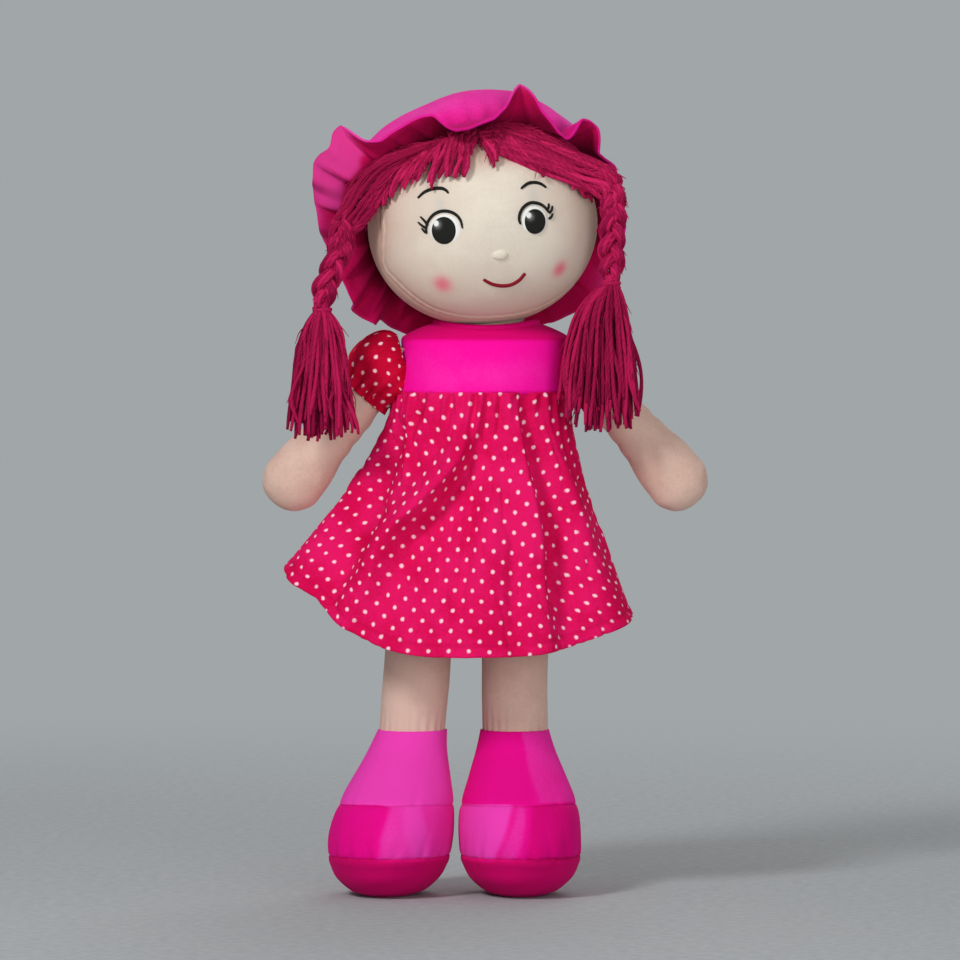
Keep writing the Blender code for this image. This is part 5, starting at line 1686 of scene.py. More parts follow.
@dataclass(frozen=True)
class Stroke:
    """A stroke of satin stitch on the face.

    Attributes:
        angles: the place that its lengths start from, in degrees round and up.
        path: points across and up from there, in millimetres, with the half width at each.
        height: how far it stands up.
        foot: where its edge stands, under the cloth.
    """

    angles: tuple[float, float]
    path: tuple[tuple[float, float, float], ...]
    height: float = 0.8 * MM
    foot: float = -0.7 * MM

    def patch(self, form: HeadForm) -> Patch:
        """The stroke's surface: foot + (height - foot) * sqrt(1 - x^6), carried along its path.

        Near an end, at a distance d from it, the half width w is w * sqrt(1 - (1 - d / w)^2).

        Args:
            form: the head that it lies on.

        Returns:
            The patch, in the doll's frame.
        """
        rows = max(30, 8 * len(self.path))
        places = 0.5 - 0.5 * np.cos(np.linspace(0, math.pi, rows))
        line = along_table(self.path, places) * MM
        way = unit(np.gradient(line[:, :2], axis=0))
        square = np.stack((-way[:, 1], way[:, 0]), axis=-1)
        walked = arc_length(line[None, :, :2], 1)[0]
        from_end = np.minimum(walked, walked[-1] - walked) / line[:, 2]
        half = line[:, 2] * np.sqrt(1 - (1 - np.clip(from_end, 0.04, 1)) ** 2)
        share = np.array((-1, -0.97, -0.86, -0.6, -0.3, 0, 0.3, 0.6, 0.86, 0.97, 1))
        flat = line[:, None, :2] + square[:, None] * (half[:, None] * share)[..., None]
        rise = self.foot + (self.height - self.foot) * np.sqrt(1 - share**6) + 0 * flat[..., 0]
        points = form.beside(self.angles, flat[..., 0], flat[..., 1], rise)
        cloth = grid(walked[:, None], share[None] * MM)
        return Patch(form.to_doll(points), cloth).facing(FRONT)


@dataclass(frozen=True)
class Disc:
    """A filled round of satin stitch on the face.

    Attributes:
        angles: its place in degrees round and up.
        shift: millimetres across and up from there.
        half: half width and half height in millimetres.
        height: how far its middle stands up.
        foot: where its edge stands.
        lean: degrees that it is turned.
        glow: millimetres across and up of a soft grey light worked into it.
    """

    angles: tuple[float, float]
    shift: tuple[float, float]
    half: tuple[float, float]
    height: float
    foot: float
    lean: float = 0.0
    glow: tuple[float, float] | None = None

    def patch(self, form: HeadForm) -> Patch:
        """The disc's surface: foot + (height - foot) * sqrt(1 - r^8).

        The glow at a distance d from its middle is exp(-(d / 1.8 mm)^2).

        Args:
            form: the head that it lies on.

        Returns:
            The patch, in the doll's frame.
        """
        radius = np.sin(np.linspace(math.pi / 2, 0.04, 20))[:, None]
        turn = circle(64)[None]
        x, y = self.half[0] * radius * np.cos(turn), self.half[1] * radius * np.sin(turn)
        lean = math.radians(self.lean)
        across = (self.shift[0] + x * math.cos(lean) - y * math.sin(lean)) * MM
        up = (self.shift[1] + x * math.sin(lean) + y * math.cos(lean)) * MM
        rise = self.foot + (self.height - self.foot) * np.sqrt(1 - radius**8) + 0 * turn
        points = form.beside(self.angles, across, up, rise)
        cloth = grid(joined(across), joined(up))
        marks = {}
        if self.glow:
            apart = np.hypot(across - self.glow[0] * MM, up - self.glow[1] * MM)
            marks["glow"] = hump(apart, 0, 1.8 * MM)
        patch = Patch(form.to_doll(points), cloth, True, False, False, True, marks)
        return patch.facing(FRONT)


@dataclass(frozen=True)
class Eye:
    """Sewn eye, all lengths in millimetres across and up from its place on the face.

    Attributes:
        side: which eye.
        angles: its place, in degrees round and up.
        white: half width and half height of the white.
        pupil_shift: middle of the pupil.
        pupil: half width and half height of the pupil.
        glint: middle of the white light on the pupil.
        lean: degrees that it is turned.
        rim: points of the upper rim.
        lashes: three points for each lash.
    """

    side: Side
    angles: tuple[float, float]
    white: tuple[float, float]
    pupil_shift: tuple[float, float]
    pupil: tuple[float, float]
    glint: tuple[float, float]
    lean: float
    rim: tuple[tuple[float, float], ...]
    lashes: tuple[tuple[tuple[float, float], ...], ...]


RIGHT_EYE = Eye(
    Side.RIGHT, (-27.3, -5.9), (9.1, 8.6), (-0.5, -0.6), (7.0, 7.6), (-4.0, 3.7), -8,
    ((-10.6, -0.6), (-10.5, 2.1), (-8.9, 5.6), (-5.6, 8.7), (-2.1, 10.0), (1.3, 10.0),
     (5.1, 8.7), (8.1, 6.1), (9.6, 2.9), (9.9, -1.0)),
    (((-9.1, 3.3), (-11.2, 6.4), (-13.6, 9.2)), ((-10.0, 1.7), (-12.8, 3.7), (-15.4, 6.3)),
     ((-10.2, -0.7), (-12.0, 0.6), (-13.4, 2.5))))
LEFT_EYE = Eye(
    Side.LEFT, (18.9, -6.1), (8.1, 8.0), (0.1, -0.95), (6.5, 6.95), (-3.6, 2.5), -4,
    ((-8.5, -2.1), (-9.1, 0.7), (-8.3, 3.9), (-6.1, 7.0), (-2.6, 9.1), (0.7, 9.5), (4.6, 8.4),
     (7.4, 6.3), (9.5, 3.4)),
    (((8.2, 4.5), (9.8, 6.5), (10.2, 8.6)), ((9.3, 3.0), (11.5, 4.6), (12.6, 7.1)),
     ((8.9, -0.2), (10.8, 0.9), (12.0, 2.8))))


@dataclass(frozen=True)
class Face:
    """Sewn face: eyes with lashes, brows, a small stuffed nose and a smile."""

    form: HeadForm = HeadForm()
    eyes: tuple[Eye, ...] = (RIGHT_EYE, LEFT_EYE)
    nose_angles: tuple[float, float] = (-0.5, -24.5)
    nose_half: tuple[float, float, float] = (4.4 * MM, 2.85 * MM, 1.6 * MM)

    def stitch(self, name: str, shapes: Sequence[Stroke | Disc], finish: Finish,
               node: str | None = None) -> None:
        """Sew shapes onto the head as one piece.

        Args:
            name: the piece's name.
            shapes: strokes or discs.
            finish: the thread.
            node: the frame's node that it stands for.
        """
        piece = make_piece(name, [shape.patch(self.form) for shape in shapes], [finish])
        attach(piece, "head")
        if node:
            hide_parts(node)

    def build(self) -> None:
        """Sew both eyes, the brows, the mouth and the nose."""
        for eye in self.eyes:
            self.build_eye(eye)
        right = ((-9.9, -3.5, 0.6), (-6.4, -1.1, 0.85), (-2.9, 0, 1.0), (0.6, 0.3, 1.05),
                 (4.4, -0.2, 1.0), (6.8, -1.7, 0.85), (8.1, -3.6, 0.6))
        left = ((-8.4, -2.9, 0.6), (-6.1, -1.4, 0.85), (-3.0, 0, 1.0), (0.3, 0.3, 1.0),
                (3.6, -0.4, 0.95), (5.8, -1.7, 0.8), (7.4, -3.1, 0.55))
        self.stitch("right_brow_stitch", [Stroke((-31.3, 17.9), right)], BLACK_THREAD, "right_brow")
        self.stitch("left_brow_stitch", [Stroke((21.7, 15.0), left)], BLACK_THREAD, "left_brow")
        smile = ((-11.3, 4.9, 1.0), (-9.3, 3.4, 1.05), (-5.5, 1.2, 1.1), (-0.5, -0.2, 1.15),
                 (4.4, -0.2, 1.15), (8.9, 1.8, 1.1), (11.2, 4.0, 1.05), (12.8, 5.8, 1.05))
        self.stitch("mouth_stitch", [Stroke((1.0, -43.9), smile)], MOUTH_THREAD, "mouth")
        self.build_nose()

    def build_eye(self, eye: Eye) -> None:
        """Sew one eye: white, pupil with its glow, glint, rim and lashes.

        Args:
            eye: its places and sizes.
        """
        angles, label = eye.angles, eye.side.label
        self.stitch(label + "_eye_white", [Disc(angles, (0, 0), eye.white, 0.55 * MM, -0.7 * MM,
                                                eye.lean)], WHITE_THREAD, label + "_eye")
        glow = (eye.glint[0] + 0.6, eye.glint[1] - 0.7)
        self.stitch(label + "_eye_pupil", [Disc(angles, eye.pupil_shift, eye.pupil, 0.95 * MM,
                                                0.1 * MM, eye.lean, glow)], PUPIL_THREAD)
        self.stitch(label + "_eye_glint", [Disc(angles, eye.glint, (1.55, 1.7), 1.25 * MM,
                                                0.6 * MM)], WHITE_THREAD)
        swell = np.sin(np.linspace(0, math.pi, len(eye.rim))) ** 0.7
        rim = tuple((x, y, 0.55 + 0.45 * float(wide)) for (x, y), wide in zip(eye.rim, swell))
        strokes = [Stroke(angles, rim)]
        for lash in eye.lashes:
            strokes.append(Stroke(angles, tuple(
                (x, y, wide) for (x, y), wide in zip(lash, (0.85, 0.75, 0.45))), 0.7 * MM))
        self.stitch(label + "_eye_lashes", strokes, BLACK_THREAD)

    def build_nose(self) -> None:
        """Small stuffed nose: a dome whose foot is gathered into the cloth."""
        form = self.form
        radius = np.linspace(1.12, 0.03, 24)[:, None]
        turn = circle(48)[None]
        wide, high, stand = self.nose_half
        across, up = wide * radius * np.cos(turn), high * radius * np.sin(turn)
        rise = stand * np.sqrt(np.clip(1 - np.minimum(radius, 1) ** 2.4, 0, 1)) - 0.3 * MM
        rise = rise + 0.12 * MM * np.cos(9 * turn) * hump(radius, 1.0, 0.25)
        points = form.beside(self.nose_angles, across, up, rise)
        patch = Patch(form.to_doll(points), None, True, False, False, True).facing(FRONT)
        nose = make_piece("nose_stuffed", [patch], [NOSE])
        settle(nose, "head", "nose", fill=0.9)


# Cap


@dataclass(frozen=True)
class Cap:
    """Velour cap tipped to the back of the head: a puffed crown and a ruffled brim.

    Attributes:
        ruffle: the brim's free edge, as degrees round from the forehead, degrees of flare from
            straight forward, and the brim's width in millimetres there.
        creases: sharp folds towards the face, as degrees round at the seam and at the edge,
            millimetres high, and degrees that the gentle side covers.
    """

    form: HeadForm = HeadForm()
    tip: float = math.radians(48)
    setback: float = 14.5 * MM
    ease: float = 2.9 * MM
    puff: float = 9 * MM
    rise: float = 52 * MM
    wall: float = 1.3 * MM
    columns: int = 480
    seam_flare: float = math.radians(78)
    crown_shares: tuple[tuple[float, float], ...] = (
        (0.0, 0.86), (0.06, 0.93), (0.16, 0.99), (0.33, 1.00), (0.56, 0.93), (0.76, 0.77),
        (0.90, 0.53), (0.98, 0.22), (1.0, 0.02))
    ruffle: tuple[tuple[float, float, float], ...] = (
        (-180, 96, 27), (-170, 114, 27), (-160, 76, 28), (-152, 70, 28), (-143.5, 96, 28),
        (-136, 52, 30), (-128.5, 74, 30), (-122, 50, 29), (-114.5, 52, 26), (-108, 60, 23),
        (-102, 84, 22), (-96, 98, 22.5), (-90, 88, 25), (-85, 98, 26), (-80.5, 105, 27.5),
        (-76, 110, 30), (-71, 98, 33), (-66, 104, 36), (-61, 104, 35), (-57, 100, 33.5),
        (-54, 112, 36.5), (-50.5, 121, 35), (-48, 105, 30.5), (-45, 79, 27.5), (-40, 66, 27),
        (-30.5, 67, 27), (-22.5, 68, 27), (-18, 64, 27), (-15.5, 46, 27), (-12.5, 37, 27),
        (-7, 36, 27), (3, 44, 27), (8, 59, 27), (11, 80, 27), (15, 101, 27), (18.5, 84, 27),
        (21.5, 59, 27), (24, 52, 27), (30, 38, 27), (35.5, 32, 27), (38, 66, 27),
        (42.5, 70, 27), (47.5, 67, 27), (52, 39, 26), (58, 44, 23), (66, 54, 22), (74, 42, 22),
        (82, 54, 22), (90, 42, 22), (99, 54, 23), (108, 46, 25), (117, 80, 27), (128, 96, 30),
        (138, 78, 34), (148, 86, 34), (158, 78, 30), (168, 108, 27), (180, 96, 27))
    softness: float = 1.1
    creases: tuple[tuple[float, float, float, float], ...] = (
        (-61.5, -64, 6.5, 8), (-76.5, -81, 5.0, 7), (-47.5, -50, 4.0, 4), (-91, -97, 4.2, 8),
        (-105, -111, 4.6, 6), (-118, -121, 5.0, 6), (-131, -133, 4.6, 6), (-145, -148, 4.2, 6),
        (-33, -36, 2.8, 5), (-23, -27, 2.4, 4), (28, 31, 3.0, 4), (41, 44, 3.0, 4),
        (133, 136, 4.0, 6), (152, 153, 4.0, 6))

    @property
    def frame(self) -> Array:
        """Turn from the cap's axes, crown up, to the head's."""
        return turn_matrix(-self.tip, "X")

    def edge_half(self) -> tuple[float, float]:
        """Half sizes of the cap's opening, where its plane cuts the head's egg form."""
        form = self.form
        across = 1 / math.hypot(math.cos(self.tip) / form.half_depth,
                                math.sin(self.tip) / form.half_height)
        deep = math.hypot(math.sin(self.tip) * form.half_depth,
                          math.cos(self.tip) * form.half_height)
        smaller = math.sqrt(1 - (self.setback / deep) ** 2)
        return form.half_width * smaller + self.ease, across * smaller + self.ease

    def to_head(self, radial: Array, rise: Array, turn: Array) -> Array:
        """Points at a distance out from the opening's edge and up along the cap's axis."""
        half_x, half_y = self.edge_half()
        flat = grid((half_x + radial) * np.sin(turn), -(half_y + radial) * np.cos(turn),
                    self.setback + rise)
        return flat @ self.frame.T

    def build(self) -> None:
        """Make the crown and the brim."""
        self.build_crown()
        self.build_brim()

    def build_crown(self) -> None:
        """Crown: ovals up the cap's axis, with gathers that die away above the seam."""
        rows = 110
        share, wide = along_table(self.crown_shares, np.linspace(0, 1, rows)).T[:, :, None]
        turn = circle(self.columns)[None]
        half_x, half_y = self.edge_half()
        gather = 1.2 * MM * np.sin(38 * turn + 1.3 * np.sin(4 * turn)) * np.exp(-share / 0.16)
        gather = gather * smooth_step(share, 0.0, 0.05)
        rise = self.setback + share * self.rise
        squeeze = np.clip(wide, 0, 1)
        flat = grid(((half_x + self.puff) * squeeze + gather) * np.sin(turn),
                    -((half_y + self.puff) * squeeze + gather) * np.cos(turn), rise)
        crumple = 1.1 * ripple(flat, 34 * MM, 61) + 0.6 * ripple(flat, 13 * MM, 62)
        inner = smooth_step(share, 0.16, 0.42) * smooth_step(1 - share, 0, 0.1)
        flat = flat + unit(flat) * (MM * crumple * inner)[..., None]
        points = self.form.to_doll(flat @ self.frame.T)
        # Painted highlight: the crown's velour is lighter round its middle.
        nap = 0.4 * hump(share, 0.4, 0.4) + 0 * turn
        crown = make_piece("cap_crown_velour", [Patch(points, None, True, False, False, True,
                                                      {"nap": nap}).facing()],
                           [CAP_VELOUR, SHADED_BRIM_VELOUR])
        give_wall(crown, self.wall, lining=True)
        settle(crown, "head", "cap_crown")

    def build_brim(self) -> None:
        """Brim: a band that leaves the seam at one flare and reaches its edge at another.

        A point at share s of the width lies at distance s * width from the seam, at the angle
        seam_flare + (edge flare - seam_flare) * s^0.7.
        """
        rows = 44
        share = np.linspace(0, 1, rows)[:, None]
        turn = circle(self.columns)[None]
        degrees = (np.degrees(turn) + 180) % 360 - 180
        flare, width = self.edge_tables(degrees)
        angle = self.seam_flare + (flare - self.seam_flare) * share**0.7
        out = width * share
        gather = 0.8 * MM * np.sin(52 * turn + 1.5 * np.sin(5 * turn)) * np.exp(-share / 0.13)
        gather = gather * smooth_step(share, 0, 0.04)
        hem = 0.35 * MM * hump(share, 0.97, 0.03) - 0.4 * MM * hump(share, 0.86, 0.018)
        normal_out = gather + hem - self.creased(degrees, share)
        radial = out * np.sin(angle) + normal_out * np.cos(angle)
        rise = -out * np.cos(angle) + normal_out * np.sin(angle) - 0.3 * MM
        points = self.form.to_doll(self.to_head(radial, rise, turn))
        # Painted light and shade on the brim: lighter towards its flared edge and along the hem,
        # darker near the seam in the brim's own shade, and two lit patches on the doll's right
        # above the creases.
        lifted = (flare - self.seam_flare) / math.radians(40)
        nap = 0.55 * lifted * share + 0.3 * hump(share, 1.0, 0.06) - 0.9 * (1 - share) ** 1.5
        for middle, half in ((-56, 6.5), (-71.5, 8)):
            nap = nap + 0.85 * smooth_step(half - np.abs(degrees - middle), -1, 1) * smooth_step(
                share, 0.35, 0.6)
        patch = Patch(points, None, True, marks={"nap": nap + 0 * turn})
        crown_way = self.form.tilt @ self.frame[:, 2]
        brim = make_piece("cap_brim_velour", [patch.facing(crown_way)], [CAP_VELOUR, SHADED_BRIM_VELOUR])
        give_wall(brim, self.wall, lining=True)
        settle(brim, "head", "cap_brim")

    def creased(self, degrees: Array, share: Array) -> Array:
        """Height of the creases: height * exp(-|apart| / side), with the lower side the steeper.

        Args:
            degrees: turns round from the forehead.
            share: shares of the brim's width.

        Returns:
            One value for each place.
        """
        made = np.zeros(np.broadcast_shapes(degrees.shape, share.shape))
        for inner, outer, height, gentle in self.creases:
            apart = (degrees - (inner + (outer - inner) * share) + 180) % 360 - 180
            outside = np.where(np.sign(inner) * apart > 0, 1.0, gentle)
            rounded = np.sqrt((apart / outside) ** 2 + 0.12) - 0.35
            made += height * MM * np.exp(-rounded) * np.sin(math.pi * share**0.8) ** 0.7
        return made

    def edge_tables(self, degrees: Array) -> tuple[Array, Array]:
        """Flare and width of the brim: the table read straight, then smoothed with a bell.

        Args:
            degrees: turns round from the forehead.

        Returns:
            The flare in radians and the width, one value for each turn.
        """
        step, reach = 0.25, 14
        fine = np.arange(-180, 180, step)
        table = np.array(self.ruffle, dtype=float)
        weights = hump(np.arange(-reach, reach + 1) * step, 0, self.softness)
        made = []
        for column, size in ((1, math.radians(1)), (2, MM)):
            values = np.pad(np.interp(fine, table[:, 0], table[:, column]), reach, "wrap")
            smoothed = np.convolve(values, weights / weights.sum(), "valid")
            made.append(np.interp(degrees, fine, smoothed, period=360) * size)
        return made[0], made[1]


# Hair


@dataclass(frozen=True)
class Lock:
    """A lock of yarn on the forehead.

    Attributes:
        path: degrees round and up, from where it leaves the cap to its tip.
        strands: how many strands.
        spread: degrees that the strands cover at the root and at the tip.
        lift: height of its layer off the cloth.
    """

    path: tuple[tuple[float, float], ...]
    strands: int
    spread: tuple[float, float] = (9.0, 4.0)
    lift: float = 2.0 * MM


@dataclass(frozen=True)
class Fringe:
    """Fringe of loose yarn on one side of the parting."""

    side: Side
    locks: tuple[Lock, ...]
    form: HeadForm = HeadForm()
    radius: float = 1.3 * MM
    rows: int = 30

    def paths(self) -> tuple[Array, Array]:
        """Middle lines of the strands: beside their lock's path, closing in towards its tip.

        A strand at a place p from -1 to 1 across its lock lies p * spread / 2 square to the
        path, and sways a little more the lower it hangs.

        Returns:
            Strands by rows by three in the head's axes, and a colour value for each.
        """
        random = np.random.default_rng(70 + self.side.value)
        lines, dyes_and_shades = [], []
        for lock in self.locks:
            for spot in np.linspace(-1, 1, lock.strands):
                jitter = random.normal(size=4)
                end = np.clip(1 - 0.07 * spot**2 - 0.09 * jitter[0], 0.68, 1.07)
                share = np.linspace(0, 1, self.rows)
                line = along_table(lock.path, share * end)
                if end > 1:
                    beyond = np.clip(share * end - 1, 0, 1)[:, None]
                    line = line + beyond * (line[-1] - line[-4]) * 9
                way = unit(np.gradient(line, axis=0))
                wide = lock.spread[0] + (lock.spread[1] - lock.spread[0]) * share**1.3
                sway = (1.1 * np.sin(5.5 * share + 3 * jitter[1]) + 0.6 * np.sin(
                    11 * share + 5 * jitter[3])) * share + 0.75 * jitter[2]
                beside = spot * wide / 2 + sway
                around = line[:, 0] + beside * way[:, 1] / np.cos(np.radians(line[:, 1]))
                up = line[:, 1] - beside * way[:, 0]
                lift = 0.6 * MM + smooth_step(share, 0.0, 0.4) * (
                    lock.lift + 1.0 * MM * np.sin(math.pi * share) * (1 + 0.4 * jitter[3])
                    + 0.8 * MM * (1 - spot**2))
                lines.append(self.form.at(around, up, lift))
                dyes_and_shades.append(random.uniform(-1, 1))
        return np.array(lines), np.array(dyes_and_shades)

    def build(self) -> None:
        """Make the fringe as one piece of many strands."""
        lines, dyes_and_shades = self.paths()
        taper = 1 - 0.45 * smooth_step(np.linspace(0, 1, self.rows), 0.86, 1.0)
        radii = np.broadcast_to(self.radius * taper, lines.shape[:2])
        radii = radii * (1 + 0.12 * np.sin(9 * np.linspace(0, 1, self.rows) + 7 * dyes_and_shades[:, None]))
        lines = self.form.to_doll(lines)
        patches = tube_patches(lines, radii, 9, dyes_and_shades, np.array((0.2, 1.0, 0.3)))
        patches += loose_fibres(lines, 620, 4.2 * MM, 110 + self.side.value)
        name = self.side.label + "_fringe"
        fringe = make_piece(name + "_yarn", patches, [YARN])
        settle(fringe, "head", name)


@dataclass(frozen=True)
class BraidSizes:
    """Places and sizes of one braid."""

    root_out: float
    forward: float
    root_rise: float
    tie_out: float
    length: float
    tassel_length: float
    tassel_half_width: float
    tassel_out: float

    def root(self, side: Side, head: HeadForm) -> Array:
        """Where the braid hangs, in the doll's frame."""
        return np.array((side.value * self.root_out + head.place[0], -self.forward,
                         head.place[2] + self.root_rise)) + STANCE


RIGHT_BRAID = BraidSizes(77 * MM, 42 * MM, -6 * MM, 88 * MM, 45.5 * MM, 66 * MM, 19 * MM, 0.0)
LEFT_BRAID = BraidSizes(72 * MM, 38 * MM, 14 * MM, 70.5 * MM, 51 * MM, 75 * MM, 23.5 * MM,
                        -5.5 * MM)


@dataclass(frozen=True)
class Sweep:
    """Edges of the hair that sweeps to the braid, as millimetres in the doll's frame."""

    outer: tuple[tuple[float, float, float], ...]
    inner: tuple[tuple[float, float, float], ...]


@dataclass(frozen=True)
class SideHair:
    """Yarn that is combed over the temple and gathers into the braid's root."""

    side: Side
    sizes: BraidSizes
    sweep: Sweep
    form: HeadForm = HeadForm()
    strands: int = 40
    layers: int = 4
    radius: float = 1.4 * MM
    rows: int = 44
    # Shift of the strands' colour; a negative shift is painted shade over the whole side hair.
    dye: float = 0.0

    def build(self) -> None:
        """Make the strands: each runs between the two edges and then down into the root.

        A strand at a share b of the way from the inner edge to the outer one passes the places
        inner + (outer - inner) * b. Every next layer lies deeper, towards the doll's back.
        """
        random = np.random.default_rng(80 + self.side.value)
        sizes = self.sizes
        root = sizes.root(self.side, self.form)
        places = np.linspace(0, 1, 6)
        outer, inner = (along_table(edge, places) * MM
                        for edge in (self.sweep.outer, self.sweep.inner))
        lines, dyes_and_shades = [], []
        for number in range(self.strands):
            blend = (number + 0.5) / self.strands + 0.03 * random.normal()
            layer = number % self.layers
            nodes = inner + (outer - inner) * blend
            nodes = nodes + random.normal(scale=0.8 * MM, size=nodes.shape)
            nodes[:, 1] += (2.6 * layer - 1.2) * MM * np.array((0, 0.4, 0.8, 1, 1, 1))
            ring = TURN * (number * GOLDEN_SHARE)
            spot = np.array((math.cos(ring) * 5.4, math.sin(ring) * 3.8, 0)) * MM * (
                0.4 + 0.6 * random.uniform())
            ends = [root + spot * 1.1 + (0, 0, 3 * MM), root + spot - (0, 0, 5 * MM),
                    root + spot * 0.7 - (0, 0, 12 * MM)]
            lines.append(along_table(np.concatenate((nodes, ends)), np.linspace(0, 1, self.rows)))
            dyes_and_shades.append(random.uniform(-1, 1) + self.dye)
        lines = np.array(lines)
        share = np.linspace(0, 1, self.rows)[None]
        shift = random.uniform(0, TURN, (self.strands, 3, 1))
        sway = np.sin(9 * share[:, None] + shift) * 1.1 * MM * np.sin(math.pi * share)[:, None]
        lines = lines + np.swapaxes(sway, 1, 2)
        radii = self.radius * (1 + 0.12 * np.sin(14 * share + shift[:, 0]))
        patches = tube_patches(lines, radii, 9, np.array(dyes_and_shades), np.array((0.3, 1.0, 0.2)))
        patches += loose_fibres(lines, 420, 4.2 * MM, 120 + self.side.value)
        name = self.side.label + "_side_hair"
        hair = make_piece(name + "_yarn", patches, [YARN])
        settle(hair, "head", name)


